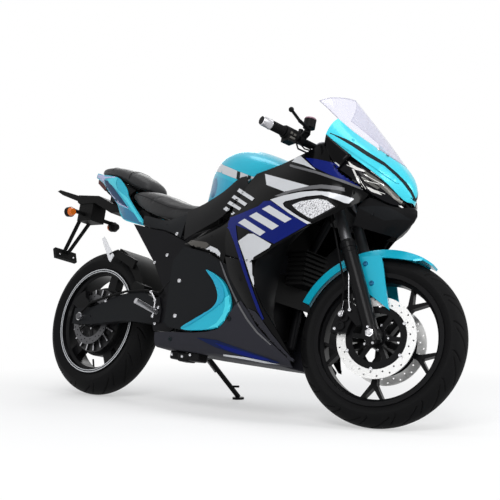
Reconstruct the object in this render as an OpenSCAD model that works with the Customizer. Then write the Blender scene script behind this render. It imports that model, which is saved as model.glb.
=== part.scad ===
// Electric sport motorcycle with full fairing, parked on its side stand.
// Bike frame: X forward, Y left, Z up, x = 0 midway between the axles, before the bike leans.

/* [Piece] */
// Piece to build, or all of them

/* [Stance] */
// Distance between the axles
wheelbase = 1400; // [1300:5:1500]
// Lean onto the side stand, in degrees
lean = 12.3; // [8:0.1:16]
// Turn of the bars to the left as parked, in degrees
steer_turn = 12.3; // [0:0.1:20]
// Rake of the steering axis, in degrees
rake = 24; // [20:0.5:28]
// Distance of the fork legs ahead of the steering axis
fork_offset = 35; // [25:1:45]

/* [Tyres] */
// Height of the front tyre above its bead
front_side = 74; // [66:1:82]
// Front tyre half width
front_hw = 55; // [48:1:62]
// Height of the rear tyre above its bead
rear_side = 95; // [86:1:104]
// Rear tyre half width
rear_hw = 70; // [60:1:78]
// Radius of the rim where the tyre seats
bead_r = 219; // [215:0.5:223]
// Thickness of a tyre wall
tyre_wall = 9; // [6:0.5:14]

/* [Wheels] */
// Height of the rim flange above the bead
flange_h = 9; // [7:0.5:11]
// Thickness of the rim barrel
barrel_t = 6; // [4:0.5:10]
// Front disc radius
front_disc_r = 140; // [125:1:150]
// Distance of each front disc from the wheel's middle
front_disc_y = 57; // [55:0.5:60]
// Rear disc radius
rear_disc_r = 108; // [95:1:115]
// Distance of the rear disc from the wheel's middle
rear_disc_y = 82; // [80:0.5:86]
// Thickness of a brake disc
disc_t = 4.5; // [3:0.5:6]
// Hub motor radius
motor_r = 138; // [120:1:150]
// Hub motor half width
motor_hw = 62; // [50:1:66]
// Axle radius
axle_r = 10; // [8:0.5:12]

/* [Fork] */
// Distance of a fork leg from the middle
leg_y = 98; // [94:1:104]
// Radius of the upper fork tube
tube_r = 20.5; // [18:0.5:23]
// Radius of the lower fork leg
lower_r = 26.5; // [24:0.5:26.5]
// Radius of the handlebar tube
bar_r = 11; // [10:0.5:12]
// Radius of a grip
grip_r = 17; // [15:0.5:19]

/* [Body] */
// Thickness of a fairing panel
panel_t = 3.5; // [2.5:0.5:4.5]
// Thickness of the screen
screen_t = 3; // [2:0.5:4]
// Clearance of the battery in its bay
battery_gap = 6; // [4:0.5:20]

/* [Side stand] */
// Distance of the foot from the bike's middle plane
foot_y = 283; // [270:1:300]
// Radius of the stand leg
stand_r = 10; // [8:0.5:12]

/* [Hidden] */
$fn = 48;
// Running clearance between round pieces
gap = 0.3;
// Radial clearance of a shaft that turns
run_gap = 0.1;
front_r = bead_r + front_side;
rear_r = bead_r + rear_side;
flange_r = bead_r + flange_h;
// Heights of the axles in the bike frame. Other tyres lift the bike and leave the axles in place.
axle_z_front = 293;
axle_z_rear = 314;
// The body is drawn at this wheelbase. Its ends move with the axles and its middle takes up the change.
drawn_base = 1400;
grow = (wheelbase - drawn_base) / 2;
middle = 360;
function fx(x) = x + grow * max(-1, min(1, x / middle));
function fit(p) = [fx(p.x), p.y, p.z];
front_axle_p = [drawn_base / 2, 0, axle_z_front];
rear_axle_p = [-drawn_base / 2, 0, axle_z_rear];
// Steering axis: a point and the upward direction
steer_dir = [-sin(rake), 0, cos(rake)];
steer_fwd = [cos(rake), 0, sin(rake)];
steer_p = front_axle_p - fork_offset * steer_fwd;
// Heights along the fork, measured from the axle along the legs
lower_top = 338;
tube_foot = 255;
low_clamp = [478, 506];
head_tube = [514, 684];
top_clamp = [692, 714];
bar_clamp = [716, 742];
tube_top = 752;
stem_r = 20;
head_r = 33;
// Side stand pivot, foot and axis
stand_p = [-190, 112, 222];
foot_x = -125;
// How far the ground lies below z = 0 at x, with the tyres that are fitted
function ground_drop(x) =
  lerp(rear_r - axle_z_rear, front_r - axle_z_front, (x + drawn_base / 2) / drawn_base);
stand_foot = [foot_x, foot_y, foot_y * tan(lean) - ground_drop(foot_x)];
stand_run = stand_foot - stand_p;
stand_axis = unit([0, -stand_run.z, stand_run.y]);
lug_t = 12;
// Bay of the frame that takes the battery
bay_x = [-108, 244];
bay_z = [284, 602];
bay_hw = 98;
battery_x = [bay_x[0] + battery_gap, bay_x[1] - battery_gap];
battery_hw = bay_hw - battery_gap;
// Where the part's origin lies in the bike frame once it leans
origin_shift = [-88, 174];

// Vectors and curves
function unit(v) = v / norm(v);
function lerp(a, b, t) = a + (b - a) * t;
function turned(v, axis, a) =
  v * cos(a) + cross(axis, v) * sin(a) + axis * (axis * v) * (1 - cos(a));
function spline(a, b, c, d, t) =
  b + 0.5 * t * (c - a + t * (2 * a - 5 * b + 4 * c - d + t * (3 * (b - c) + d - a)));
function on_table(rows, u) =
  let (n = len(rows) - 1, i = min(floor(u), n - 1), t = u - i)
  spline(i > 0 ? rows[i - 1] : 2 * rows[0] - rows[1], rows[i], rows[i + 1],
    i + 2 <= n ? rows[i + 2] : 2 * rows[n] - rows[n - 1], t);
function smooth(rows, steps) =
  [for (k = [0 : (len(rows) - 1) * steps]) on_table(rows, k / steps)];
function closed_curve(pts, steps) =
  let (n = len(pts))
  [for (k = [0 : n * steps - 1])
    let (i = floor(k / steps), t = k / steps - i)
    spline(pts[(i + n - 1) % n], pts[i], pts[(i + 1) % n], pts[(i + 2) % n], t)];
// A panel row holds three points: first edge, middle, last edge
function panel_point(rows, u, v) =
  let (r = on_table(rows, u), a = [r[0], r[1], r[2]], m = [r[3], r[4], r[5]], b = [r[6], r[7], r[8]])
  a * (1 - v) * (1 - 2 * v) + 4 * m * v * (1 - v) + b * v * (2 * v - 1);
function fitted(g) = [for (line = g) [for (p = line) fit(p)]];
function panel_grid(rows, nu, nv) =
  [for (i = [0 : nu]) [for (j = [0 : nv]) panel_point(rows, i / nu * (len(rows) - 1), j / nv)]];
function grid_normal(g, i, j) =
  let (n = len(g) - 1, m = len(g[0]) - 1)
  unit(cross(g[min(i + 1, n)][j] - g[max(i - 1, 0)][j], g[i][min(j + 1, m)] - g[i][max(j - 1, 0)]));
// The same rows carried across the middle plane, for a panel that spans both sides
function flipped(r) = [r[0], -r[1], r[2], r[3], -r[4], r[5], r[6], -r[7], r[8]];
function both_sides(rows) =
  concat(rows, [for (k = [len(rows) - 2 : -1 : 0]) flipped(rows[k])]);

// How the bike leans: height of a leaned point, and the pitch that sets both tyres down
function leaned(p) = [p.x, p.y * cos(lean) + p.z * sin(lean), p.z * cos(lean) - p.y * sin(lean)];
function tyre_low(c, a, r, hw) = c.z - (r - hw) * sqrt(1 - a.z * a.z) - hw;
function steered_point(p) = steer_p + turned(p - steer_p, steer_dir, steer_turn);
front_c = leaned(steered_point(front_axle_p) + [grow, 0, 0]);
front_a = leaned(turned([0, 1, 0], steer_dir, steer_turn));
rear_c = leaned(fit(rear_axle_p));
rear_a = leaned([0, 1, 0]);
front_low = tyre_low(front_c, front_a, front_r, front_hw);
rear_low = tyre_low(rear_c, rear_a, rear_r, rear_hw);
pitch = asin((front_low - rear_low) / (front_c.x - rear_c.x));
lift = -(rear_low - rear_c.x * sin(pitch));

module parked() {
  translate([-origin_shift.x, -origin_shift.y, lift])
    rotate([0, pitch, 0]) rotate([-lean, 0, 0]) children();
}
module steered() {
  translate(steer_p) rotate(a = steer_turn, v = steer_dir) translate(-steer_p) children();
}
// Pieces of the fork keep their shape and move with the front axle
module on_fork() {
  $rigid = true;
  parked() translate([grow, 0, 0]) steered() children();
}
function placed(p) = is_undef($rigid) ? fit(p) : p;
function placed_x(x) = placed([x, 0, 0]).x;
module pair() {
  children();
  mirror([0, 1, 0]) children();
}
module rod(p0, q0, r) {
  p = placed(p0);
  v = placed(q0) - p;
  translate(p) rotate([0, acos(v.z / norm(v)), atan2(v.y, v.x)]) cylinder(r = r, h = norm(v));
}
// A cone between two points, turned on its axis so that its seam clears its neighbour's
module neck(p0, q0, r0, r1) {
  p = placed(p0);
  v = placed(q0) - p;
  translate(p) rotate([0, acos(v.z / norm(v)), atan2(v.y, v.x)]) rotate(50)
    cylinder(r1 = r0, r2 = r1, h = norm(v));
}
module path(pts, r) {
  for (k = [1 : len(pts) - 1]) rod(pts[k - 1], pts[k], r);
  for (k = [1 : len(pts) - 2]) translate(placed(pts[k])) sphere(r = r + 0.5);
}
// A round bar across the bike, from y = y0 to y = y1
module cross_bar(x, z, y0, y1, r) {
  translate([placed_x(x), y0, z]) rotate([-90, 0, 0]) cylinder(r = r, h = y1 - y0);
}
// A plate cut to an outline in side view, from y = y0 to y = y1
module plate(pts, y0, y1) {
  translate([0, y1, 0]) rotate([90, 0, 0]) linear_extrude(y1 - y0)
    polygon([for (p = pts) [placed_x(p.x), p.y]]);
}
module box(low0, high0) {
  low = placed(low0);
  translate(low) cube(placed(high0) - low);
}
// A box in a piece's own frame
module block(low, high) {
  translate(low) cube(high - low);
}
// Turns a section of [radius, y] about the Y axis through c, from angle a0 on
module ring_y(c, a0, sweep) {
  translate(placed(c)) rotate([90, 0, 0]) rotate([0, 0, a0])
    rotate_extrude(angle = sweep, $fn = 96) children();
}
module along_fork(y, t0, t1, r) {
  rod(front_axle_p + [0, y, 0] + t0 * steer_dir, front_axle_p + [0, y, 0] + t1 * steer_dir, r);
}
module along_stem(t0, t1, r) {
  rod(steer_p + t0 * steer_dir, steer_p + t1 * steer_dir, r);
}
// Closed shell on a grid of points, thickened inward
module shell(g, t) {
  n = len(g);
  m = len(g[0]);
  outer = [for (i = [0 : n - 1]) for (j = [0 : m - 1]) g[i][j]];
  inner = [for (i = [0 : n - 1]) for (j = [0 : m - 1]) g[i][j] - t * grid_normal(g, i, j)];
  size = n * m;
  quads = concat(
    [for (i = [0 : n - 2]) for (j = [0 : m - 2])
      [i * m + j, i * m + j + 1, (i + 1) * m + j + 1, (i + 1) * m + j]],
    [for (i = [0 : n - 2]) for (j = [0 : m - 2])
      [size + (i + 1) * m + j, size + (i + 1) * m + j + 1, size + i * m + j + 1, size + i * m + j]],
    [for (i = [0 : n - 2]) [i * m, (i + 1) * m, size + (i + 1) * m, size + i * m]],
    [for (i = [1 : n - 1])
      [i * m + m - 1, i * m - 1, size + i * m - 1, size + i * m + m - 1]],
    [for (j = [1 : m - 1]) [j, j - 1, size + j - 1, size + j]],
    [for (j = [1 : m - 1])
      [size - m + j - 1, size - m + j, 2 * size - m + j, 2 * size - m + j - 1]]);
  polyhedron(concat(outer, inner), [for (q = quads) each [[q[0], q[1], q[2]], [q[0], q[2], q[3]]]]);
}
module panel(rows, nu, nv, t) {
  shell(fitted(panel_grid(rows, nu, nv)), t);
}
// Post from a panel inward along Y to a flat pad at y = pad_y
module panel_post(rows, u, v, pad_y, r) {
  p = panel_point(rows, u, v);
  cross_bar(p.x, p.z, pad_y, p.y - panel_t / 2, r);
}
// Bracket of the frame that ends in the matching pad
module pad_bracket(rows, u, v, pad_y, from, r) {
  p = panel_point(rows, u, v);
  rod(from, [p.x, pad_y - pad_t - 1, p.z], r);
  cross_bar(p.x, p.z, pad_y - pad_t, pad_y, pad_r);
}
pad_t = 8;
pad_r = 12;
post_r = 8;
// Closed solid through rings of points, each ring at one x
module loft(rings) {
  n = len(rings);
  m = len(rings[0]);
  sides = [for (i = [0 : n - 2]) for (j = [0 : m - 1])
    each [[i * m + j, i * m + (j + 1) % m, (i + 1) * m + (j + 1) % m],
      [i * m + j, (i + 1) * m + (j + 1) % m, (i + 1) * m + j]]];
  caps = [[for (j = [m - 1 : -1 : 0]) j], [for (j = [0 : m - 1]) (n - 1) * m + j]];
  polyhedron([for (r = rings) each r], concat(sides, caps));
}
// Ring with a flat base, straight flanks and a domed top
function domed_ring(x, z_top, w_mid, z_mid, w_base, z_base, steps) =
  concat([[x, -w_base, z_base]],
    [for (k = [0 : steps])
      let (a = 180 * k / steps, c = cos(a), s = sin(a))
      [x, -w_mid * sign(c) * pow(abs(c), dome_p), z_mid + (z_top - z_mid) * pow(s, dome_p)]],
    [[x, w_base, z_base]]);
dome_p = 0.8;
module domed_solid(rows, along_steps, steps) {
  loft([for (r = smooth(rows, along_steps)) domed_ring(fx(r[0]), r[1], r[2], r[3], r[4], r[5], steps)]);
}

// Tables of the body. Panel rows: first edge x y z, middle x y z, last edge x y z (left side).
tank_rows = [ // x, z_top, w_mid, z_mid, w_base, z_base
  [-130, 925, 62, 862, 76, 768],
  [-104, 978, 84, 886, 90, 770],
  [-50, 1012, 114, 905, 118, 784],
  [20, 1020, 140, 908, 138, 806],
  [100, 1008, 154, 900, 148, 840],
  [180, 982, 160, 890, 154, 862],
  [260, 946, 152, 880, 150, 866],
  [322, 908, 132, 876, 134, 868]];
spar_rows = [
  [-150, 152, 748, -134, 172, 688, -118, 182, 624],
  [-60, 160, 772, -38, 182, 718, -18, 190, 664],
  [40, 170, 812, 56, 186, 762, 72, 192, 706],
  [108, 172, 857, 118, 184, 812, 128, 189, 768],
  [142, 166, 868, 154, 174, 850, 168, 180, 828]];
fairing_rows = [
  [200, 178, 868, 124, 204, 704, 152, 228, 548],
  [326, 186, 894, 262, 236, 702, 308, 255, 518],
  [430, 193, 925, 420, 246, 735, 400, 256, 568],
  [506, 194, 944, 510, 232, 768, 494, 242, 628],
  [557, 191, 861, 592, 206, 779, 563, 214, 673],
  [630, 161, 809, 632, 173, 768, 630, 178, 718],
  [678, 140, 771, 673, 149, 756, 667, 158, 742]];
leg_rows = [ // first edge is the front one, from the top down
  [306, 253, 512, 226, 247, 526, 148, 227, 541],
  [316, 247, 440, 250, 240, 455, 180, 222, 467],
  [348, 230, 368, 298, 228, 378, 248, 216, 386],
  [394, 208, 306, 356, 207, 306, 318, 201, 303],
  [440, 165, 222, 416, 168, 226, 396, 168, 232],
  [462, 146, 184, 452, 147, 186, 444, 147, 189]];
belly_rows = [ // x, w_top, z_top, w_low, z_low
  [-205, 175, 260, 164, 212],
  [-100, 188, 262, 168, 206],
  [20, 197, 262, 172, 199],
  [140, 203, 278, 172, 192],
  [186, 206, 330, 170, 189],
  [238, 211, 382, 166, 186],
  [312, 197, 298, 158, 182],
  [390, 164, 228, 146, 178],
  [440, 145, 190, 136, 174]];
cowl_rows = [ // first edge meets the screen, last edge is the strip above the lamp
  [512, 142, 1062, 506, 170, 1030, 502, 190, 986],
  [575, 120, 1010, 592, 156, 965, 596, 176, 912],
  [640, 90, 965, 672, 128, 912, 674, 151, 857],
  [690, 55, 930, 719, 73, 873, 717, 102, 820],
  [708, 25, 919, 759, 31, 846, 754, 39, 774],
  [712, 0, 916, 772, 0, 832, 767, 0, 773]];
screen_rows = [ // first edge is the top
  [394, 108, 1160, 456, 130, 1112, 511, 142, 1065],
  [422, 86, 1176, 500, 110, 1096, 574, 120, 1013],
  [447, 58, 1184, 546, 80, 1078, 639, 90, 968],
  [468, 28, 1188, 584, 46, 1060, 689, 55, 933],
  [475, 13, 1189, 596, 21, 1054, 707, 25, 922],
  [478, 0, 1190, 600, 0, 1052, 711, 0, 919]];
lamp_rows = [
  [553, 183, 880, 548, 187, 873, 554, 187, 866],
  [606, 172, 886, 612, 177, 858, 618, 172, 824],
  [675, 148, 852, 676, 158, 815, 686, 142, 772],
  [718, 99, 815, 725, 104, 785, 726, 82, 752],
  [753, 41, 769, 753, 45, 761, 747, 44, 753]];
chin_rows = [
  [640, 142, 728, 630, 132, 698, 610, 114, 672],
  [675, 128, 762, 677, 110, 711, 655, 84, 661],
  [722, 78, 746, 723, 68, 699, 688, 50, 655],
  [750, 38, 748, 753, 34, 709, 708, 20, 653],
  [774, 0, 756, 787, 0, 719, 722, 0, 652]];
inner_rows = [ // from the bottom up, first edge is the outer one
  [428, 160, 226, 396, 128, 230, 356, 102, 236],
  [382, 206, 322, 356, 158, 326, 318, 108, 330],
  [322, 236, 416, 318, 170, 420, 308, 106, 425],
  [311, 246, 512, 322, 178, 514, 322, 108, 520],
  [396, 248, 572, 370, 190, 585, 342, 112, 600],
  [486, 233, 632, 436, 188, 643, 384, 126, 655]];
flank_rows = [ // from the back forward, first edge is the upper one
  [-112, 170, 618, -106, 184, 611, -100, 192, 602],
  [-20, 176, 652, -8, 196, 620, 0, 203, 582],
  [70, 178, 688, 82, 201, 626, 84, 214, 556],
  [112, 184, 708, 134, 205, 626, 140, 222, 520]];
seat_side_rows = [ // from the back forward, first edge is the upper one
  [-424, 127, 752, -416, 137, 730, -406, 142, 708],
  [-360, 131, 738, -350, 139, 714, -340, 144, 690],
  [-284, 129, 724, -280, 141, 702, -274, 147, 680],
  [-226, 127, 736, -220, 143, 700, -212, 152, 660],
  [-168, 126, 748, -166, 144, 696, -162, 158, 638]];
trim_rows = [ // from the back forward, first edge lies under the pillion seat
  [-740, 66, 960, -742, 69, 954, -744, 70, 948],
  [-670, 68, 940, -672, 78, 926, -674, 84, 910],
  [-600, 66, 904, -604, 78, 886, -608, 88, 866],
  [-576, 62, 892, -588, 80, 866, -600, 92, 842]];
tail_rows = [ // from the tip forward, first edge is the upper one
  [-868, 48, 996, -872, 49, 985, -873, 47, 974],
  [-800, 69, 977, -806, 70, 960, -808, 58, 941],
  [-725, 86, 961, -735, 87, 928, -742, 74, 893],
  [-655, 98, 940, -660, 100, 886, -658, 86, 828],
  [-590, 103, 886, -600, 108, 830, -608, 100, 772],
  [-560, 112, 846, -566, 117, 796, -560, 114, 742],
  [-490, 124, 786, -492, 127, 754, -486, 125, 722],
  [-419, 132, 727, -418, 133, 717, -416, 132, 706]];
seat_rows = [ // x, z_top, w_mid, z_mid, w_base, z_base
  [-566, 874, 76, 864, 78, 852],
  [-536, 879, 92, 860, 92, 834],
  [-490, 877, 108, 850, 106, 804],
  [-430, 868, 120, 832, 112, 776],
  [-360, 848, 124, 806, 112, 752],
  [-294, 822, 118, 784, 104, 735],
  [-240, 806, 102, 776, 90, 738],
  [-190, 799, 84, 776, 76, 749],
  [-136, 800, 76, 780, 72, 762]];
pillion_rows = [
  [-842, 1008, 40, 1000, 40, 990],
  [-810, 1015, 60, 1001, 56, 983],
  [-750, 1015, 76, 991, 70, 969],
  [-687, 1007, 84, 971, 76, 953],
  [-620, 989, 85, 941, 77, 921],
  [-560, 965, 80, 916, 72, 899],
  [-514, 936, 66, 902, 60, 888],
  [-496, 910, 46, 898, 44, 884]];
swoosh_pts = [[43, 499], [129, 459], [180, 390], [182, 332], [144, 286], [60, 272], [-20, 270],
  [-36, 281], [29, 316], [105, 358], [120, 402], [88, 456]];
cover_pts = [[-146, 300], [-150, 540], [-100, 594], [30, 566], [128, 520], [176, 476], [206, 436],
  [240, 394], [238, 372], [190, 322], [150, 284], [-20, 266], [-120, 280]];
cover_y = [186, 192];
swoosh_y = [192.2, 206];
// Frame: spar, cradle and tail tube runs on the left, and the tubes' radii
spar_r = 19;
cradle_r = 16;
rail_r = 13;
stay_r = 11;
spar_path = [[428, 38, 806], [250, 92, 738], [-140, 118, 640], [-140, 118, 300]];
cradle_path = [[432, 36, 790], [294, 86, 614], [262, 85, 262], [-140, 98, 240], [-141, 117, 306]];
rail_path = [[-142, 117, 632], [-400, 92, 706], [-560, 78, 796], [-780, 36, 908]];
stay_path = [[-141, 118, 455], [-468, 86, 744]];
frame_plate_pts = [[-456, 710], [-404, 700], [-338, 683], [-272, 673], [-210, 653], [-150, 628],
  [-105, 600], [-110, 300], [-150, 266], [-240, 268], [-266, 330], [-200, 410], [-300, 546]];
plate_y = [142, 150];
pivot_p = [-230, 0, 330];
pivot_r = 11;
lamp_bar = [612, 858];
lamp_pad = 140;
side_pad = 150;
nose_pad = 142;
chin_pad = 82;
trim_pad = 62;
seat_side_pad = 120;
arm_y = [104, 138];
arm_top = 428;
arm_pts = [[-192, 352], [-206, 372], [-240, 386], [-300, 408], [-350, arm_top], [-400, arm_top],
  [-520, 400], [-640, 356], [-750, 350], [-752, 284], [-640, 284], [-420, 306], [-250, 296],
  [-206, 300], [-192, 318]];
brace_x = [-345, -300];
pan_t = 6.5;
seat_steps = 3;
// Underside of a seat at x, from its table
function base_z(rows, x) = lookup(x, [for (r = smooth(rows, seat_steps)) [r[0], r[5]]]);
// Pan of the frame under a seat, along the seat's own stations from row i0 to row i1
module pan(rows, i0, i1, hw) {
  line = smooth(rows, seat_steps);
  ends = [i0 * seat_steps, i1 * seat_steps];
  top = [for (i = [ends[0] : ends[1]]) [line[i][0], line[i][5] - gap]];
  under = [for (i = [ends[1] : -1 : ends[0]]) [line[i][0], line[i][5] - gap - pan_t]];
  plate(concat(top, under), -hw, hw);
}
// Post inside the frame from a rail up to a pan
post_up_r = 9;
module upright(x, y, z0, z1) {
  translate([fx(x), y, z0]) cylinder(r = post_up_r, h = z1 - z0);
}

module main_frame() {
  color([0.10, 0.10, 0.11]) parked() difference() {
    union() {
      along_stem(head_tube[0], head_tube[1], head_r);
      pair() {
        path(spar_path, spar_r);
        path(cradle_path, cradle_r);
        path(rail_path, rail_r);
        path(stay_path, stay_r);
        plate(frame_plate_pts, plate_y[0], plate_y[1]);
        for (z = [316, 480, 618]) cross_bar(-140, z, 118, plate_y[0] + 1, 15);
        pad_bracket(fairing_rows, 1.2, 0.5, side_pad, [262, 90, 742], 9);
        pad_bracket(leg_rows, 1, 0.5, side_pad, [285, 82, 460], 9);
        pad_bracket(spar_rows, 1.5, 0.5, side_pad, [0, 108, 676], 9);
        pad_bracket(fairing_rows, 5, 0.5, nose_pad, [lamp_bar.x, 110, lamp_bar.y], 8);
        pad_bracket(cowl_rows, 1, 0.5, 118, [lamp_bar.x, 105, lamp_bar.y], 8);
        pad_bracket(chin_rows, 1, 0.5, chin_pad, [lamp_bar.x, 80, lamp_bar.y], 8);
        pad_bracket(tail_rows, 4, 0.5, 90, [-560, 78, 798], 8);
        pad_bracket(trim_rows, 1, 0.5, trim_pad, [-700, 36, 868], 7);
        pad_bracket(flank_rows, 1.5, 0.5, side_pad, [20, 107, 680], 9);
        pad_bracket(seat_side_rows, 2.2, 0.6, seat_side_pad, [-270, 104, 668], 9);
        for (p = seat_post_rows) seat_post(seat_rows, p);
        for (p = pillion_post_rows) seat_post(pillion_rows, p);
      }
      pan(seat_rows, 2, 7, 70);
      pan(pillion_rows, 2, 5, 58);
      for (b = beam_rows) box([b[0], -b[2], b[3]], [b[1], b[2], b[4]]);
      cross_bar(lamp_bar.x, lamp_bar.y, -lamp_pad, lamp_pad, 10);
      rod([560, 0, 850], [524, 0, 938], 10);
      cross_bar(pivot_p.x, pivot_p.z, -plate_y[1], plate_y[1], pivot_r);
      stand_bracket();
      for (y = [-60, 60]) for (p = belly_posts) upright(p.x, y, 206, 250);
      for (p = belly_posts) cross_bar(p.x, 244, -92, 92, 9);
      tank_posts();
    }
    along_stem(head_tube[0] - 60, head_tube[1] + 60, stem_r + run_gap);
  }
}
beam_rows = [ // cross beams of the frame: x from, x to, half width, z from, z to
  [60, 90, 92, 240, bay_z[0]],
  [-100, -70, 98, 232, bay_z[0]],
  [-730, -690, 66, 846, 872],
  [294, 316, 118, 506, 576],
  [-155, -125, 118, 560, 600],
  [-799.7, -768, 38, 905, 955],
  [430, lamp_bar.x, 18, 818, 860]];
// Posts under the seats: x, y and the bar between the rails that carries them, its half length and z
seat_post_rows = [[-430, 56, 89, 723], [-240, 56, 106, 661]];
pillion_post_rows = [[-612, 46, 68, 823], [-700, 40, 51, 868]];
module seat_post(rows, p) {
  upright(p[0], p[1], p[3], base_z(rows, p[0]) - pan_t * 0.6);
  cross_bar(p[0], p[3], 0, p[2], 10);
}
// Posts that carry the tank cover: x, y, z of the foot, z of the top
tank_post_rows = [[-50, 60, 640, 800], [-50, -60, 640, 800], [280, 0, 750, 882]];
module tank_posts() {
  for (p = tank_post_rows) upright(p[0], p[1], p[2], p[3]);
  cross_bar(-50, 655, -112, 112, 14);
  cross_bar(280, 750, -92, 92, 14);
}
module stand_bracket() {
  seat = stand_p - stand_axis * (lug_t / 2 + gap);
  base = stand_p - stand_axis * 20;
  cap = stand_p + stand_axis * (lug_t / 2 + gap);
  path([[-140, 98, 240], [-140, 92, 205], base], 9);
  rod(base - stand_axis * 6, seat, 17);
  rod(seat - stand_axis, cap + stand_axis, stand_bolt_r);
  rod(cap, cap + stand_axis * 8, 11);
}
stand_bolt_r = 6;
// Threaded holes for paddock stand spools: x and z, radius and depth
spool_p = [-640, 318];
spool_r = 3.4;
spool_depth = 20;
module swingarm() {
  color([0.08, 0.08, 0.09]) parked() difference() {
    union() {
      pair() plate(arm_pts, arm_y[0], arm_y[1]);
      cross_bar(pivot_p.x, pivot_p.z, -arm_y[0] - 1, arm_y[0] + 1, 26);
      box([brace_x[0], -arm_y[0] - 1, 320], [brace_x[1], arm_y[0] + 1, 372]);
      box([-338, -16, 372], [-308, 16, 392]);
    }
    cross_bar(pivot_p.x, pivot_p.z, -160, 160, pivot_r + gap);
    cross_bar(rear_axle_p.x, rear_axle_p.z, -160, 160, axle_r + gap);
    pair() cross_bar(spool_p.x, spool_p.y, arm_y[1] - spool_depth, arm_y[1] + 1, spool_r);
  }
}
module rear_shock() {
  color([0.16, 0.16, 0.17]) parked() {
    low = [-323, 0, 392 + shock_eye + gap];
    high = [-155 - shock_eye - gap, 0, 580];
    run = unit(high - low);
    for (p = [low, high]) cross_bar(p.x, p.z, -14, 14, shock_eye);
    rod(low, high, 11);
    rod(low + run * 30, high - run * 26, 27);
  }
}
shock_eye = 14;
module battery_pack() {
  color([0.18, 0.18, 0.19]) parked()
    box([battery_x[0], -battery_hw, bay_z[0]], [battery_x[1], battery_hw, bay_z[1] - battery_gap]);
}
module controller() {
  color([0.12, 0.12, 0.13]) parked() difference() {
    box([316 + gap, -70, 474], [396, 70, 600]);
    for (k = [0 : 6]) for (s = [-1, 1])
      box([318, s * 70 - 9, 483 + k * 17.5], [397, s * 70 + 9, 491 + k * 17.5]);
    for (k = [0 : 6]) box([380, -71, 483 + k * 17.5], [397, 71, 491 + k * 17.5]);
  }
}
module tank_cover() {
  color([0.10, 0.66, 0.78]) parked() difference() {
    domed_solid(tank_rows, 3, 18);
    for (p = tank_post_rows) translate([fx(p[0]), p[1], p[2]])
      cylinder(r = post_up_r + gap, h = p[3] - p[2] + gap);
  }
}
module spar_covers() {
  color([0.24, 0.24, 0.25]) parked() pair() {
    panel(spar_rows, 12, 6, panel_t);
    panel_post(spar_rows, 1.5, 0.5, side_pad, post_r);
  }
}
module flank_panels() {
  color([0.04, 0.04, 0.05]) parked() pair() {
    panel(flank_rows, 12, 6, panel_t);
    panel_post(flank_rows, 1.5, 0.5, side_pad, post_r);
  }
}
module seat_sides() {
  color([0.09, 0.09, 0.10]) parked() pair() {
    panel(seat_side_rows, 12, 5, panel_t);
    panel_post(seat_side_rows, 2.2, 0.6, seat_side_pad, post_r);
  }
}
module side_covers() {
  color([0.20, 0.20, 0.22]) parked() pair() {
    plate(cover_pts, cover_y[0], cover_y[1]);
    for (z = [320, 530]) cross_bar(-124, z, plate_y[1], cover_y[0] + 1, 9);
    cross_bar(110, 420, battery_hw, cover_y[0] + 1, 9);
  }
}
module swooshes() {
  color([0.10, 0.66, 0.78]) parked() pair()
    plate(closed_curve(swoosh_pts, 4), swoosh_y[0], swoosh_y[1]);
}
module fairing_sides() {
  color([0.03, 0.03, 0.04]) parked() pair() {
    panel(fairing_rows, 18, 9, panel_t);
    panel_post(fairing_rows, 1.2, 0.5, side_pad, post_r);
    panel_post(fairing_rows, 5, 0.5, nose_pad, post_r);
  }
}
module fairing_legs() {
  color([0.03, 0.03, 0.04]) parked() pair() {
    panel(leg_rows, 14, 5, panel_t);
    panel_post(leg_rows, 1, 0.5, side_pad, post_r);
  }
}
function belly_ring(r) =
  let (half = [[r[1], r[2]], [lerp(r[1], r[3], 0.45) + 3, lerp(r[2], r[4], 0.5)], [r[3], r[4]],
    [r[3] - 14, r[4] - 7], [r[3] * 0.5, r[4] - 9]])
  concat([for (h = half) [r[0], h.x, h.y]], [[r[0], 0, r[4] - 9]],
    [for (k = [len(half) - 1 : -1 : 0]) [r[0], -half[k].x, half[k].y]]);
// Posts of the belly pan: x, and z just inside its floor
belly_posts = [[0, 192], [180, 181]];
module belly_pan() {
  color([0.13, 0.13, 0.15]) parked() difference() {
    union() {
      shell(fitted([for (r = smooth(belly_rows, 2)) belly_ring(r)]), panel_t);
      for (y = [-60, 60]) for (p = belly_posts) translate([fx(p.x), y, p.y])
        cylinder(r = 11, h = 206 - p.y);
    }
    box([-240, 60, 150], [-112, 230, 246]);
    box([392, -125, 150], [480, 125, 260]);
  }
}
module nose_cowl() {
  color([0.10, 0.66, 0.78]) parked() {
    panel(both_sides(cowl_rows), 30, 6, panel_t);
    pair() panel_post(cowl_rows, 1, 0.5, 118, post_r);
  }
}
module windscreen() {
  color([0.85, 0.85, 0.95, 0.4]) parked()
    panel(both_sides(screen_rows), 30, 6, screen_t);
}
module headlights() {
  color([0.05, 0.05, 0.07]) parked() pair() {
    panel(lamp_rows, 12, 5, panel_t);
    panel_post(lamp_rows, 1, 0.5, lamp_pad, post_r);
  }
}
module chin_panel() {
  color([0.04, 0.04, 0.05]) parked() {
    panel(both_sides(chin_rows), 24, 5, panel_t);
    pair() panel_post(chin_rows, 1, 0.5, chin_pad, post_r);
  }
}
module inner_panels() {
  color([0.05, 0.05, 0.05]) parked() pair() {
    panel(inner_rows, 14, 5, panel_t);
    rod([316 + gap, 111, 520], [320 + gap, 111, 520], 6);
  }
}
module instrument_panel() {
  color([0.05, 0.05, 0.06]) parked() difference() {
    translate(fit([524, 0, 938])) rotate([0, -28, 0]) block([-14, -85, -gap], [16, 85, 74]);
    rod([560, 0, 850], [524, 0, 938], 10 + gap);
  }
}
module rider_seat() {
  color([0.10, 0.10, 0.10]) parked() domed_solid(seat_rows, seat_steps, 14);
}
module pillion_seat() {
  color([0.10, 0.10, 0.10]) parked() domed_solid(pillion_rows, seat_steps, 14);
}
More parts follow.
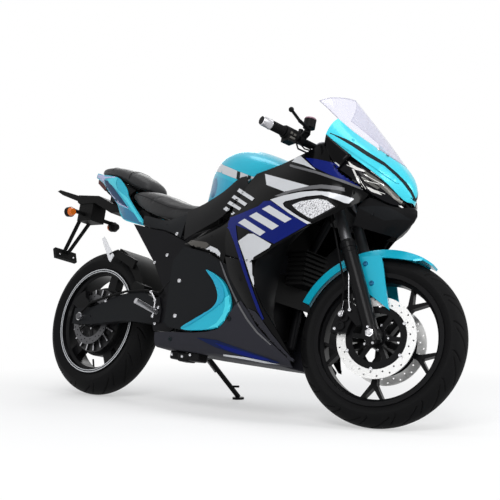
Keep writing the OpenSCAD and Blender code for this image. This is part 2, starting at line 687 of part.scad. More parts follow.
module tail_panels() {
  color([0.10, 0.66, 0.78]) parked() pair() {
    panel(tail_rows, 16, 6, panel_t);
    panel_post(tail_rows, 4, 0.5, 90, post_r);
  }
}
module tail_trims() {
  color([0.05, 0.05, 0.05]) parked() pair() {
    panel(trim_rows, 9, 4, panel_t);
    panel_post(trim_rows, 1, 0.5, trim_pad, post_r);
  }
}
module tail_light() {
  color([0.55, 0.04, 0.05]) parked()
    plate([[-868, 968], [-800, 972], [-800, 930], [-812, 912], [-866, 950]], -39, 39);
}
module rear_fender() {
  color([0.05, 0.05, 0.05]) parked() {
    plate([[-640, 846], [-740, 846], [-840, 888], [-985, 900], [-985, 866], [-970, 856], [-860, 856],
      [-740, 802], [-640, 802]], -44, 44);
    plate([[-984, 898], [-1146, 940], [-1166, 934], [-1120, 912], [-984, 870]], -32, 32);
  }
}
holder_p = [-1062, 0, 622];
holder_tilt = 24;
holder_t = 9;
plate_bolt_y = 40;
plate_hole_r = 3.3;
module plate_hanger() {
  color([0.06, 0.06, 0.06]) parked() {
    box([-970, -40, 776], [-875, 40, 856]);
    pair() rod([-960, 30, 784], [-1058, 10, 636], 7);
    translate(fit(holder_p)) rotate([0, -holder_tilt, 0]) difference() {
      block([-holder_t, -62, -24], [holder_t, 62, 24]);
      for (s = [-1, 1]) translate([-20, s * plate_bolt_y, -6]) rotate([0, 90, 0])
        cylinder(r = plate_hole_r, h = 40);
    }
  }
}
module indicator_stalks() {
  color([0.06, 0.06, 0.06]) parked() pair() {
    cross_bar(-925, 806, 40, 118, 9);
    translate(fit([-925, 134, 790])) rotate([0, 90, 0]) cylinder(r = 22, h = 18);
    box([-925, 112, 790], [-907, 124, 812]);
  }
}
module indicator_lenses() {
  color([0.95, 0.42, 0.06]) parked() pair()
    translate(fit([-907, 134, 790])) rotate([0, 90, 0]) cylinder(r1 = 22, r2 = 15, h = 20);
}
hugger_gap = 12;
hugger_r = rear_r + hugger_gap;
hugger_ends = [22, 70];
function round_axle(c, r, a) = [c.x + r * cos(a), c.z + r * sin(a)];
module hugger() {
  color([0.05, 0.05, 0.05]) parked() {
    ring_y(rear_axle_p, hugger_ends[0], hugger_ends[1] - hugger_ends[0])
      polygon([[hugger_r, -84], [hugger_r + 4, -84], [hugger_r + 4, 84], [hugger_r, 84],
        [hugger_r - 30, 88], [hugger_r - 30, 84], [hugger_r - 4, 80], [hugger_r - 4, -80],
        [hugger_r - 30, -84], [hugger_r - 30, -88]]);
    pair() {
      plate([[-398, arm_top + gap], [-352, arm_top + gap], [-352, arm_top + 24],
        round_axle(rear_axle_p, hugger_r, 29), round_axle(rear_axle_p, hugger_r - 26, 26)], 86, 130);
      // Stay that carries the rear end
      plate([round_axle(rear_axle_p, hugger_r - 14, 44), round_axle(rear_axle_p, hugger_r + 22, 47),
        round_axle(rear_axle_p, hugger_r - 4, 70), round_axle(rear_axle_p, hugger_r - 34, 72)], 86.5, 98);
    }
  }
}
module footrests() {
  color([0.70, 0.70, 0.72]) parked() pair() {
    plate([[-262, 300], [-206, 300], [-206, 352], [-226, 400], [-256, 400]], plate_y[1], plate_y[1] + 8);
    rod([-232, plate_y[1] + 4, 340], [-250, 258, 366], 11);
  }
}
module rear_axle() {
  color([0.60, 0.60, 0.62]) parked() {
    cross_bar(rear_axle_p.x, rear_axle_p.z, -150, 150, axle_r);
    pair() cross_bar(rear_axle_p.x, rear_axle_p.z, arm_y[1] + gap, arm_y[1] + 14, 17);
    pair() cross_bar(rear_axle_p.x, rear_axle_p.z, 93, arm_y[0] - gap, 16);
  }
}
// A caliper straddling a disc, as a sector about the axle
caliper_out = 26;
caliper_in = 15;
module caliper(c, disc_y, r_in, r_out, a0, sweep) {
  ring_y(c, a0, sweep) difference() {
    translate([r_in, -disc_y - caliper_out]) square([r_out - r_in, caliper_in + caliper_out]);
    translate([r_in - 1, -disc_y - disc_t / 2 - 5.5]) square([r_out - r_in - 10, disc_t + 11]);
  }
}
module rear_caliper() {
  color([0.05, 0.05, 0.05]) parked() {
    mirror([0, 1, 0]) caliper(rear_axle_p, rear_disc_y, 70, 126, 108, 42);
    plate([[-750, 350 + gap], [-690, 353.3 + gap], [-690, 385], [-715, 400], [-742, 392]], -118, -107);
  }
}
module clamp_outline() {
  difference() {
    union() {
      for (s = [-1, 1]) translate([fork_offset, s * leg_y]) circle(r = tube_r + 12);
      circle(r = stem_r + 14);
      polygon([[-12, -30], [fork_offset + 26, -leg_y - 6], [fork_offset + 26, leg_y + 6], [-12, 30]]);
    }
    for (s = [-1, 1]) translate([fork_offset, s * leg_y]) circle(r = tube_r + gap);
  }
}
module triple_clamps() {
  color([0.09, 0.09, 0.10]) on_fork() {
    for (c = [low_clamp, top_clamp])
      translate(steer_p + c[0] * steer_dir) rotate([0, -rake, 0])
        linear_extrude(c[1] - c[0]) clamp_outline();
    along_stem(low_clamp[1] - 1, top_clamp[0] + 1, stem_r);
  }
}
module fork_tubes() {
  color([0.12, 0.12, 0.13]) on_fork() pair() along_fork(leg_y, tube_foot, tube_top, tube_r);
}
module fork_lowers() {
  color([0.05, 0.05, 0.06]) on_fork() pair() difference() {
    union() {
      along_fork(leg_y, -30, lower_top, lower_r);
      along_fork(leg_y, lower_top - 18, lower_top, lower_r + 2.5);
      cross_bar(front_axle_p.x, front_axle_p.z, leg_y - lower_r, leg_y + 22, 29);
      plate([[690, 330], [612, 398], [580, 398], [580, 372], [640, 318]],
        front_disc_y + caliper_out + gap, leg_y - 2);
    }
    along_fork(leg_y, tube_foot - 2, lower_top + 10, tube_r + gap);
    cross_bar(front_axle_p.x, front_axle_p.z, 0, 200, axle_r + gap);
  }
}
fender_gap = 15;
fender_r = front_r + fender_gap;
// Cut under the front of the fender: distance from its radius, and angle about the axle
fender_cut = [[-60, 84], [-29.5, 84], [-25, 75], [-16, 69], [-6, 64], [-3, 59], [-60, 54]];
module fender_section() {
  polygon([[fender_r, -52], [fender_r + 4, -50], [fender_r + 4, 50], [fender_r, 52], [fender_r - 30, 66],
    [fender_r - 31, 62.5], [fender_r - 4, 48.5], [fender_r - 4, -48.5], [fender_r - 31, -62.5],
    [fender_r - 30, -66]]);
}
module front_fender() {
  color([0.10, 0.66, 0.78]) on_fork() {
    difference() {
      ring_y(front_axle_p, 61, 99) fender_section();
      // The skirts run out towards the front, and the tip is rounded in plan
      plate([for (k = fender_cut) round_axle(front_axle_p, fender_r + k[0], k[1])], -80, 80);
      pair() translate([0, 0, front_axle_p.z]) linear_extrude(fender_r + 20)
        polygon([[790, 70], [790, 58], [815, 51], [838, 40], [852, 27], [860, 12], [880, 12], [880, 70]]);
    }
    pair() plate([round_axle(front_axle_p, fender_r - 16.6, 110.5),
      round_axle(front_axle_p, fender_r - 22, 94.6), [690, 548], [710, 474], [736, 387], [677, 425],
      [616, 464], [598, 508], round_axle(front_axle_p, fender_r - 11, 115.1)],
      64.5, leg_y - lower_r - gap);
  }
}
module front_axle() {
  color([0.65, 0.65, 0.67]) on_fork() {
    cross_bar(front_axle_p.x, front_axle_p.z, -128, 128, axle_r);
    pair() cross_bar(front_axle_p.x, front_axle_p.z, 67, leg_y - lower_r - gap, 16);
  }
}
module front_calipers() {
  color([0.05, 0.05, 0.05]) on_fork() pair()
    mirror([0, 1, 0]) caliper(front_axle_p, front_disc_y, 96, 156, 144, 36);
}
// Handlebar line on the left, from the clamp to the bar end
bar_in = front_axle_p + [0, leg_y, 0] + 729 * steer_dir;
bar_out = [272, 348, 966];
bar_angle = atan2(bar_out.x - bar_in.x, bar_in.y - bar_out.y);
switch_y = [212, 258];
function on_bar(y) = bar_in + (bar_out - bar_in) * ((y - bar_in.y) / (bar_out.y - bar_in.y));
module handlebars() {
  color([0.08, 0.08, 0.08]) on_fork() pair() difference() {
    union() {
      along_fork(leg_y, bar_clamp[0], bar_clamp[1], tube_r + 9);
      rod(bar_in, on_bar(340), bar_r);
      rod(on_bar(340), bar_out, 15);
    }
    along_fork(leg_y, bar_clamp[0] - 40, bar_clamp[1] + 40, tube_r + gap);
  }
}
module sleeve(y0, y1, r) {
  difference() {
    rod(on_bar(y0), on_bar(y1), r);
    rod(on_bar(y0 - 20), on_bar(y1 + 20), bar_r + gap);
  }
}
module grips() {
  color([0.04, 0.04, 0.04]) on_fork() pair() sleeve(259, 339, grip_r);
}
lever_hinge = [394, 208, 992];
lever_knee = [380, 268, 997];
lever_tip = [372, 330, 1011];
// Boss on the lever's perch with a threaded hole for a mirror stem
boss_top = 40;
perch_y = 190;
mirror_r = 4.25;
mirror_depth = 15;
module levers() {
  color([0.08, 0.08, 0.09]) on_fork() pair() difference() {
    union() {
      rod(on_bar(perch_y - 9), on_bar(perch_y + 9), 19);
      translate(on_bar(perch_y) - [6, 0, 0]) cylinder(r = 9, h = boss_top);
      rod(on_bar(perch_y) + [12, 2, 14], lever_hinge - [12, 6, 8], 14);
      translate(lever_hinge - [12, 6, 12]) cylinder(r = 12, h = 18);
      rod(lever_hinge, lever_knee, 6.5);
      rod(lever_knee, lever_tip, 5.5);
      translate(lever_knee) sphere(r = 6.8);
      translate(lever_tip) sphere(r = 9.5);
    }
    rod(on_bar(perch_y - 28), on_bar(perch_y + 28), bar_r + gap);
    translate(on_bar(perch_y) + [-6, 0, boss_top - mirror_depth])
      cylinder(r = mirror_r, h = mirror_depth + 1);
  }
}
module switchgear() {
  color([0.05, 0.05, 0.05]) on_fork() pair() difference() {
    union() {
      rod(on_bar(switch_y[0]), on_bar(switch_y[1]), 24);
      translate(on_bar((switch_y[0] + switch_y[1]) / 2)) rotate([0, 0, bar_angle])
        block([-20, -19, -33], [20, 19, 14]);
    }
    rod(on_bar(switch_y[0] - 20), on_bar(switch_y[1] + 20), bar_r + gap);
  }
}
reservoir_p = [386, 203, 1000];
module brake_reservoirs() {
  color([0.05, 0.05, 0.05]) on_fork() pair() {
    translate(reservoir_p) cylinder(r = 22, h = 31);
  }
}
hose_r = 3.2;
hose_start = on_bar(perch_y - 9) - [0, 0, 14.7] - gap * unit(bar_out - bar_in);
hose_path = [hose_start, hose_start - 38 * unit(bar_out - bar_in), [404, 126, 896], [518, 127, 640],
  [584, 120, 450], [582, 106, 352], [582, front_disc_y + caliper_out + gap, 352]];
module brake_hoses() {
  color([0.04, 0.04, 0.04]) on_fork() pair() path(hose_path, hose_r);
}

// Crown of a tyre section, from radius low outward
module half_round(r, hw, radius, low) {
  intersection() {
    translate([r - hw, 0]) circle(r = radius, $fn = 64);
    translate([low, -hw]) square([r - low + 1, 2 * hw]);
  }
}
module tyre_section(r, hw) {
  w = hw * bead_share;
  shoulder = max(r - hw + 2, flange_r + 6);
  difference() {
    union() {
      half_round(r, hw, hw, r - hw);
      polygon([[shoulder, -hw * 0.985], [shoulder, hw * 0.985], [flange_r + 2, w], [bead_r, w],
        [bead_r, -w], [flange_r + 2, -w]]);
    }
    half_round(r, hw, hw - tyre_wall, shoulder - 2);
    translate([bead_r - 1, tyre_wall - w]) square([shoulder - bead_r, 2 * (w - tyre_wall)]);
  }
}
bead_share = 0.76;
module barrel_section(hw) {
  w = hw * bead_share;
  polygon([[flange_r, -w - 6], [flange_r, -w - gap], [bead_r - gap, -w - gap], [bead_r - gap, -w + 14],
    [bead_r - 12, -w + 22], [bead_r - 12, w - 22], [bead_r - gap, w - 14], [bead_r - gap, w + gap],
    [flange_r, w + gap], [flange_r, w + 6], [bead_r - barrel_t, w + 6], [bead_r - barrel_t - 1, w - 12],
    [bead_r - 12 - barrel_t, w - 20], [bead_r - 12 - barrel_t, -w + 20],
    [bead_r - barrel_t - 1, -w + 12], [bead_r - barrel_t, -w - 6]]);
}
module front_tyre() {
  color([0.07, 0.07, 0.07]) on_fork() ring_y(front_axle_p, 0, 360) tyre_section(front_r, front_hw);
}
module spoke_y() {
  rim_in = bead_r - 15;
  fork_at = rim_in - 54;
  polygon([[30, -12], [fork_at - 30, -8], [fork_at, -11], [rim_in, -45], [rim_in, -33], [rim_in - 42, 0],
    [rim_in, 33], [rim_in, 45], [fork_at, 11], [fork_at - 30, 8], [30, 12]]);
}
module front_rim() {
  color([0.06, 0.06, 0.06]) on_fork() difference() {
    union() {
      ring_y(front_axle_p, 0, 360) barrel_section(front_hw);
      translate(front_axle_p + [0, 14, 0]) rotate([90, 0, 0]) linear_extrude(28)
        for (k = [0 : 4]) rotate(k * 72 + 54) spoke_y();
      cross_bar(front_axle_p.x, front_axle_p.z, -54, 54, 36);
      cross_bar(front_axle_p.x, front_axle_p.z, -66, 66, 22);
    }
    cross_bar(front_axle_p.x, front_axle_p.z, -80, 80, axle_r + run_gap);
  }
}
module disc_outline(r, ring_w, bore, arms, holes) {
  difference() {
    circle(r = r, $fn = 96);
    circle(r = r - ring_w, $fn = 96);
    for (k = [0 : holes - 1]) rotate(k * 360 / holes)
      translate([r - ring_w * (k % 2 == 0 ? 0.3 : 0.68), 0]) circle(r = 3.2, $fn = 13);
  }
  difference() {
    union() {
      circle(r = bore + 14);
      for (k = [0 : arms - 1]) rotate(k * 360 / arms)
        translate([bore + 4, -8]) square([r - ring_w - bore - 2, 16]);
    }
    circle(r = bore);
  }
}
module disc_at(c, y, r, ring_w, bore, arms, holes) {
  translate(placed(c) + [0, y + disc_t / 2, 0]) rotate([90, 0, 0]) linear_extrude(disc_t)
    disc_outline(r, ring_w, bore, arms, holes);
}
module front_discs() {
  color([0.65, 0.65, 0.66]) on_fork() pair()
    disc_at(front_axle_p, front_disc_y, front_disc_r, 32, 22 + gap, 6, 36);
}
module rear_tyre() {
  color([0.07, 0.07, 0.07]) parked() ring_y(rear_axle_p, 0, 360) tyre_section(rear_r, rear_hw);
}
module rear_rim() {
  color([0.06, 0.06, 0.06]) parked() {
    ring_y(rear_axle_p, 0, 360) barrel_section(rear_hw);
    translate(fit(rear_axle_p) + [0, 20, 0]) rotate([90, 0, 0]) linear_extrude(40) {
      difference() {
        circle(r = motor_r + 12, $fn = 96);
        circle(r = motor_r + gap, $fn = 96);
      }
      for (k = [0 : 4]) rotate(k * 72 + 80)
        translate([motor_r + 8, -24]) square([bead_r - motor_r - 24, 48]);
    }
  }
}
module hub_motor() {
  color([0.22, 0.22, 0.23]) parked() difference() {
    union() {
      cross_bar(rear_axle_p.x, rear_axle_p.z, -motor_hw + 10, motor_hw - 10, motor_r);
      cross_bar(rear_axle_p.x, rear_axle_p.z, -motor_hw, motor_hw, 84);
      cross_bar(rear_axle_p.x, rear_axle_p.z, -92, 92, 30);
      for (k = [0 : 17]) translate(fit(rear_axle_p)) rotate([0, k * 20, 0])
        block([80, -motor_hw, -3], [motor_r - 4, motor_hw, 3]);
    }
    cross_bar(rear_axle_p.x, rear_axle_p.z, -100, 100, axle_r + run_gap);
  }
}
module rear_disc() {
  color([0.30, 0.30, 0.31]) parked()
    disc_at(rear_axle_p, -rear_disc_y, rear_disc_r, 30, 30 + gap, 5, 32);
}
module side_stand() {
  color([0.07, 0.07, 0.07]) parked() difference() {
    run = unit(stand_run);
    tip = stand_foot + [0, 0, 9];
    union() {
      rod(stand_p - stand_axis * lug_t / 2, stand_p + stand_axis * lug_t / 2, 16);
      neck(stand_p + run * 12, stand_p + run * 33, 4.5, stand_r - 0.6);
      rod(tip, stand_p + run * 31, stand_r);
      translate(fit(stand_foot)) rotate([lean, 0, 0]) rotate([0, -pitch, 0])
        cylinder(r = 24, h = 8);
      rod(stand_p + run * 175, stand_p + run * 175 + [46, 8, 4], 4.5);
    }
    rod(stand_p - stand_axis * 20, stand_p + stand_axis * 20, stand_bolt_r + run_gap);
  }
}

main_frame();
swingarm();
rear_shock();
battery_pack();
controller();
tank_cover();
spar_covers();
flank_panels();
seat_sides();
side_covers();
swooshes();
fairing_sides();
fairing_legs();
belly_pan();
nose_cowl();
windscreen();
headlights();
chin_panel();
inner_panels();
instrument_panel();
rider_seat();
pillion_seat();
tail_panels();
tail_trims();
tail_light();
rear_fender();
plate_hanger();
indicator_stalks();
indicator_lenses();
hugger();
footrests();
rear_axle();
rear_caliper();
triple_clamps();
fork_tubes();
fork_lowers();
front_fender();
front_axle();
front_calipers();
handlebars();
grips();
levers();
switchgear();
brake_reservoirs();
brake_hoses();
front_tyre();
front_rim();
front_discs();
rear_tyre();
rear_rim();
hub_motor();
rear_disc();
side_stand();
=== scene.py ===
"""Looks of an electric sport motorcycle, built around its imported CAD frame."""

import math

import bmesh
import bpy
import numpy as np
from mathutils import Matrix, Vector, geometry
from mathutils.bvhtree import BVHTree


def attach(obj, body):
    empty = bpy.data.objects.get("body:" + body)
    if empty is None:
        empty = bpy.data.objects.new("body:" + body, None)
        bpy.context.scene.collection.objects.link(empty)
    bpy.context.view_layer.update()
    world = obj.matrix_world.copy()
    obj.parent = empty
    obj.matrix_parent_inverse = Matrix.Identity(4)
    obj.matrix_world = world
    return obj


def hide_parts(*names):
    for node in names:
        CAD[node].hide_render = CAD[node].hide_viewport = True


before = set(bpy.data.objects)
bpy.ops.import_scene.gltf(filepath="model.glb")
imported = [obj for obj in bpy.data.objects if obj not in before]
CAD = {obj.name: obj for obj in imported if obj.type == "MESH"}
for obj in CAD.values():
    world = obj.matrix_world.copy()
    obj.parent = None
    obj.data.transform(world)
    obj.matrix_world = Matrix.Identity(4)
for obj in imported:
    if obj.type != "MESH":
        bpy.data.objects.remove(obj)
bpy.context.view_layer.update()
MM = 0.001

# Frames: the upright bike in millimetres, the straight fork on it, and the row frame in metres
LEAN, PITCH, LIFT = math.radians(12.3), math.radians(0.139), -0.1
ORIGIN_X, ORIGIN_Y = 88, -174
RAKE, TURN = math.radians(24), math.radians(12.3)
FORK_OFFSET = 35
FRONT_AXLE = Vector((700, 0, 293))
REAR_AXLE = Vector((-700, 0, 314))
STEER_DIR = Vector((-math.sin(RAKE), 0, math.cos(RAKE)))
STEER_P = FRONT_AXLE - FORK_OFFSET * Vector((math.cos(RAKE), 0, math.sin(RAKE)))
BIKE = (
    Matrix.Scale(MM, 4)
    @ Matrix.Translation((ORIGIN_X, ORIGIN_Y, LIFT))
    @ Matrix.Rotation(PITCH, 4, "Y")
    @ Matrix.Rotation(-LEAN, 4, "X")
)
FORK = (
    BIKE
    @ Matrix.Translation(STEER_P)
    @ Matrix.Rotation(TURN, 4, STEER_DIR)
    @ Matrix.Translation(-STEER_P)
)
# The frame that each body's pieces are given in
SPACES = {"chassis": BIKE, "side_stand": BIKE, "rear_wheel": BIKE, "fork": FORK, "front_wheel": FORK}

# Camera of the photo: place and aim in millimetres in the row frame, focal length in photo pixels
EYE = Vector((2397.4, -2739.7, 478.2)) * MM
AIM = Vector((267, -174, 603)) * MM
PHOTO_SIZE = 500
FOCAL_PX = 900.3
SENSOR = 36
LOOK = (AIM - EYE).normalized()
RIGHT = LOOK.cross(Vector((0, 0, 1))).normalized()
UP = RIGHT.cross(LOOK)


def photo_ray(u, v):
    """Direction from the camera through a pixel of the 500 x 500 photo."""
    half = PHOTO_SIZE / 2
    return (LOOK * FOCAL_PX + RIGHT * (u - half) + UP * (half - v)).normalized()


# Materials. Each one varies its colour, roughness and surface with noise.
LEATHER_CELLS = 420
BUMP_DEPTH = 1 * MM


def add(nodes, kind, **values):
    """A new node with these values in its sockets, whose names are written with _ for a space."""
    node = nodes.new(kind)
    for socket, value in values.items():
        node.inputs[socket.replace("_", " ")].default_value = value
    return node


def wire(source, output, target, socket):
    source.id_data.links.new(source.outputs[output], target.inputs[socket])


def finish(name, colour, rough, metal, mottle, size, bump, shine=None, leather=False):
    mat = bpy.data.materials.new(name)
    mat.use_nodes = True
    nodes = mat.node_tree.nodes
    shader = nodes["Principled BSDF"]
    place = nodes.new("ShaderNodeTexCoord")
    noise = add(nodes, "ShaderNodeTexNoise", Scale=size, Detail=4)
    wire(place, "Object", noise, "Vector")
    ramp = nodes.new("ShaderNodeValToRGB")
    for stop, share in zip(ramp.color_ramp.elements, (1 - mottle, 1 + mottle)):
        stop.color = (*[min(1, c * share) for c in colour], 1)
    wire(noise, "Fac", ramp, "Fac")
    wire(ramp, "Color", shader, "Base Color")
    span = add(nodes, "ShaderNodeMapRange", To_Min=max(0.02, rough * 0.88), To_Max=min(1, rough * 1.12))
    wire(noise, "Fac", span, "Value")
    wire(span, "Result", shader, "Roughness")
    surface = add(nodes, "ShaderNodeBump", Strength=bump, Distance=BUMP_DEPTH)
    if leather:
        cells = add(nodes, "ShaderNodeTexVoronoi", Scale=LEATHER_CELLS)
        cells.feature = "DISTANCE_TO_EDGE"
        wire(place, "Object", cells, "Vector")
        wire(cells, "Distance", surface, "Height")
    else:
        wire(noise, "Fac", surface, "Height")
    wire(surface, "Normal", shader, "Normal")
    shader.inputs["Metallic"].default_value = metal
    for socket, value in (shine or {}).items():
        shader.inputs[socket].default_value = value
    return mat


def mesh_lens_finish(name):
    """Clear lens over a crumpled bright foil."""
    mat = finish(name, (0.8, 0.8, 0.82), 0.12, 0.0, 0.06, 60, 0.02, {"Coat Weight": 1.0})
    nodes = mat.node_tree.nodes
    cells = add(nodes, "ShaderNodeTexVoronoi", Scale=240)
    wire(nodes["Texture Coordinate"], "Object", cells, "Vector")
    ramp = nodes.new("ShaderNodeValToRGB")
    bright, dark = ramp.color_ramp.elements
    bright.color, bright.position = (0.72, 0.72, 0.74, 1), 0.3
    dark.color, dark.position = (0.16, 0.16, 0.17, 1), 0.85
    wire(cells, "Distance", ramp, "Fac")
    wire(ramp, "Color", nodes["Principled BSDF"], "Base Color")
    return mat


def screen_finish(name):
    """Clear plastic that shows more where it is seen edge on."""
    mat = finish(name, (0.62, 0.61, 0.74), 0.05, 0.0, 0.01, 20, 0.002, {"Specular IOR Level": 0.4})
    nodes = mat.node_tree.nodes
    edge = add(nodes, "ShaderNodeLayerWeight", Blend=0.35)
    span = add(nodes, "ShaderNodeMapRange", To_Min=0.10, To_Max=0.75)
    wire(edge, "Facing", span, "Value")
    wire(span, "Result", nodes["Principled BSDF"], "Alpha")
    return mat


GLOSS = {"Specular IOR Level": 0.25, "Coat Weight": 0.2, "Coat Roughness": 0.05}
SHEEN = {"Specular IOR Level": 0.06, "Coat Weight": 0.03, "Coat Roughness": 0.05}
DULL = {"Specular IOR Level": 0.06}
SOFT = {"Specular IOR Level": 0.20, "Sheen Weight": 0.03}
# Colour, roughness, metal, how strongly it is mottled, the noise's scale, its bump, and other shader values
FINISHES = {
    # The lighter and deeper cyans, the teal and grey_line also serve as painted highlights and painted shade
    # on the panels
    "cyan_paint": ((0.006, 0.37, 0.51), 0.25, 0.1, 0.05, 300, 0.01, GLOSS),
    "light_cyan": ((0.04, 0.54, 0.66), 0.25, 0.1, 0.05, 300, 0.01, GLOSS),
    "deep_cyan": ((0.004, 0.30, 0.46), 0.25, 0.1, 0.05, 300, 0.01, GLOSS),
    "teal_paint": ((0.002, 0.13, 0.26), 0.25, 0.1, 0.05, 300, 0.01, GLOSS),
    "blue_paint": ((0.003, 0.009, 0.115), 0.25, 0.0, 0.08, 300, 0.01, SHEEN),
    "dusk_blue": ((0.006, 0.040, 0.105), 0.25, 0.0, 0.06, 300, 0.01, SHEEN),
    "navy_paint": ((0.004, 0.010, 0.05), 0.25, 0.0, 0.08, 300, 0.01, SHEEN),
    "lilac_paint": ((0.40, 0.42, 0.66), 0.25, 0.1, 0.05, 300, 0.01, GLOSS),
    "silver_paint": ((0.50, 0.51, 0.53), 0.35, 0.15, 0.06, 500, 0.015, GLOSS),
    "warm_grey": ((0.07, 0.066, 0.06), 0.3, 0.1, 0.08, 400, 0.015, SHEEN),
    "grey_line": ((0.11, 0.11, 0.115), 0.3, 0.1, 0.08, 400, 0.015, SHEEN),
    "gap_dark": ((0.012, 0.018, 0.02), 0.5, 0.0, 0.1, 200, 0.02, DULL),
    "black_gloss": ((0.0012, 0.0012, 0.0014), 0.16, 0.0, 0.2, 300, 0.006, SHEEN),
    "black_satin": ((0.005, 0.005, 0.0055), 0.4, 0.0, 0.15, 260, 0.04, DULL),
    "black_plastic": ((0.005, 0.005, 0.005), 0.5, 0.0, 0.2, 900, 0.12, DULL),
    "rim_black": ((0.005, 0.005, 0.0055), 0.3, 0.0, 0.15, 260, 0.02, SHEEN),
    "frame_black": ((0.006, 0.006, 0.007), 0.42, 0.0, 0.2, 300, 0.06, DULL),
    "dark_grey": ((0.008, 0.0087, 0.0098), 0.42, 0.0, 0.12, 300, 0.04, DULL),
    "charcoal": ((0.022, 0.022, 0.028), 0.5, 0.0, 0.12, 700, 0.06, DULL),
    "spar_grey": ((0.009, 0.009, 0.0095), 0.5, 0.0, 0.12, 900, 0.12, DULL),
    "rubber": ((0.0042, 0.0042, 0.0045), 0.6, 0.0, 0.25, 160, 0.12, DULL),
    "vinyl": ((0.017, 0.017, 0.018), 0.42, 0.0, 0.15, 120, 0.25, SOFT, True),
    "thread": ((0.018, 0.018, 0.019), 0.7, 0.0, 0.2, 900, 0.2, DULL),
    "steel": ((0.60, 0.60, 0.62), 0.25, 1.0, 0.06, 200, 0.02),
    "disc_steel": ((0.60, 0.60, 0.595), 0.38, 0.7, 0.10, 500, 0.05),
    "dark_steel": ((0.08, 0.08, 0.085), 0.4, 0.8, 0.12, 300, 0.05),
    "alloy": ((0.42, 0.42, 0.44), 0.35, 0.9, 0.10, 120, 0.06),
    "chrome": ((0.70, 0.69, 0.67), 0.15, 0.7, 0.05, 80, 0.02),
    "motor_grey": ((0.014, 0.014, 0.015), 0.4, 0.4, 0.15, 300, 0.06),
    "lamp_smoke": ((0.005, 0.005, 0.006), 0.08, 0.0, 0.2, 40, 0.004, SHEEN),
    "lamp_grey": ((0.10, 0.098, 0.09), 0.2, 0.3, 0.2, 90, 0.03, SHEEN),
    "screen_edge": ((0.46, 0.45, 0.56), 0.1, 0.0, 0.02, 20, 0.002, {"Alpha": 0.6}),
    "red_lens": ((0.07, 0.003, 0.004), 0.12, 0.0, 0.1, 120, 0.03, GLOSS),
    "orange_lens": ((0.60, 0.13, 0.012), 0.15, 0.0, 0.15, 220, 0.08, GLOSS),
    "clear_lens": ((0.78, 0.78, 0.80), 0.1, 0.0, 0.02, 120, 0.02, {"Alpha": 0.8}),
    "display": ((0.005, 0.007, 0.011), 0.08, 0.0, 0.2, 60, 0.003, SHEEN),
    "red_cap": ((0.26, 0.15, 0.19), 0.25, 0.3, 0.1, 200, 0.03),
}
MATS = {name: finish(name, *row) for name, row in FINISHES.items()}
MATS["screen_clear"] = screen_finish("screen_clear")
MATS["mesh_lens"] = mesh_lens_finish("mesh_lens")

# Looks of the CAD pieces
NODE_LOOKS = {
    "frame_black": "main_frame",
    "dark_grey": "swingarm seat_sides side_covers",
    "black_satin": "rear_shock battery_pack chin_panel inner_panels tail_trims rear_caliper triple_clamps "
    "front_calipers handlebars levers side_stand",
    "black_plastic": "controller instrument_panel rear_fender plate_hanger indicator_stalks hugger "
    "switchgear brake_reservoirs",
    "cyan_paint": "tank_cover swooshes tail_panels front_fender",
    "spar_grey": "spar_covers",
    "black_gloss": "flank_panels fairing_sides fairing_legs",
    "charcoal": "belly_pan",
    "light_cyan": "nose_cowl",
    "screen_clear": "windscreen",
    "lamp_smoke": "headlights",
    "vinyl": "rider_seat pillion_seat",
    "red_lens": "tail_light",
    "orange_lens": "indicator_lenses",
    "alloy": "footrests",
    "steel": "rear_axle front_axle",
    "dark_steel": "fork_tubes rear_disc",
    "rim_black": "fork_lowers front_rim rear_rim",
    "rubber": "grips brake_hoses front_tyre rear_tyre",
    "disc_steel": "front_discs",
    "motor_grey": "hub_motor",
}
JOIN_GAP = 0.02 * MM
SMOOTH_LIMIT = 38


# Shading of the CAD pieces: their split vertices are joined and only sharp edges stay hard
def smooth_group(name):
    group = bpy.data.node_groups.new(name, "GeometryNodeTree")
    for way in ("INPUT", "OUTPUT"):
        group.interface.new_socket("Geometry", in_out=way, socket_type="NodeSocketGeometry")
    nodes = group.nodes
    source, result = nodes.new("NodeGroupInput"), nodes.new("NodeGroupOutput")
    weld = add(nodes, "GeometryNodeMergeByDistance", Distance=JOIN_GAP)
    drop = add(nodes, "GeometryNodeRemoveAttribute", Name="custom_normal")
    faces = nodes.new("GeometryNodeSetShadeSmooth")
    edges = add(nodes, "GeometryNodeSetShadeSmooth", Shade_Smooth=False)
    edges.domain = "EDGE"
    angle = nodes.new("GeometryNodeInputMeshEdgeAngle")
    over = nodes.new("FunctionNodeCompare")
    over.operation = "GREATER_THAN"
    over.inputs[1].default_value = math.radians(SMOOTH_LIMIT)
    wire(source, 0, weld, 0)
    wire(weld, 0, drop, 0)
    wire(drop, 0, faces, "Geometry")
    wire(faces, 0, edges, "Geometry")
    wire(angle, "Unsigned Angle", over, 0)
    wire(over, 0, edges, "Selection")
    wire(edges, 0, result, 0)
    return group


def modifier(piece, name, kind, **settings):
    step = piece.modifiers.new(name, kind)
    for setting, value in settings.items():
        setattr(step, setting, value)
    return step


SMOOTH = smooth_group("joined_and_smooth")
for look, nodes in NODE_LOOKS.items():
    for node in nodes.split():
        CAD[node].data.materials.clear()
        CAD[node].data.materials.append(MATS[look])
        modifier(CAD[node], "smooth", "NODES", node_group=SMOOTH)


def two_tone(node, look, chosen, space=BIKE):
    """Faces of a CAD piece whose centre, in its own millimetre frame, is chosen get a second material."""
    data = CAD[node].data
    data.materials.append(MATS[look])
    back = space.inverted()
    for face in data.polygons:
        if chosen(back @ face.center):
            face.material_index = len(data.materials) - 1


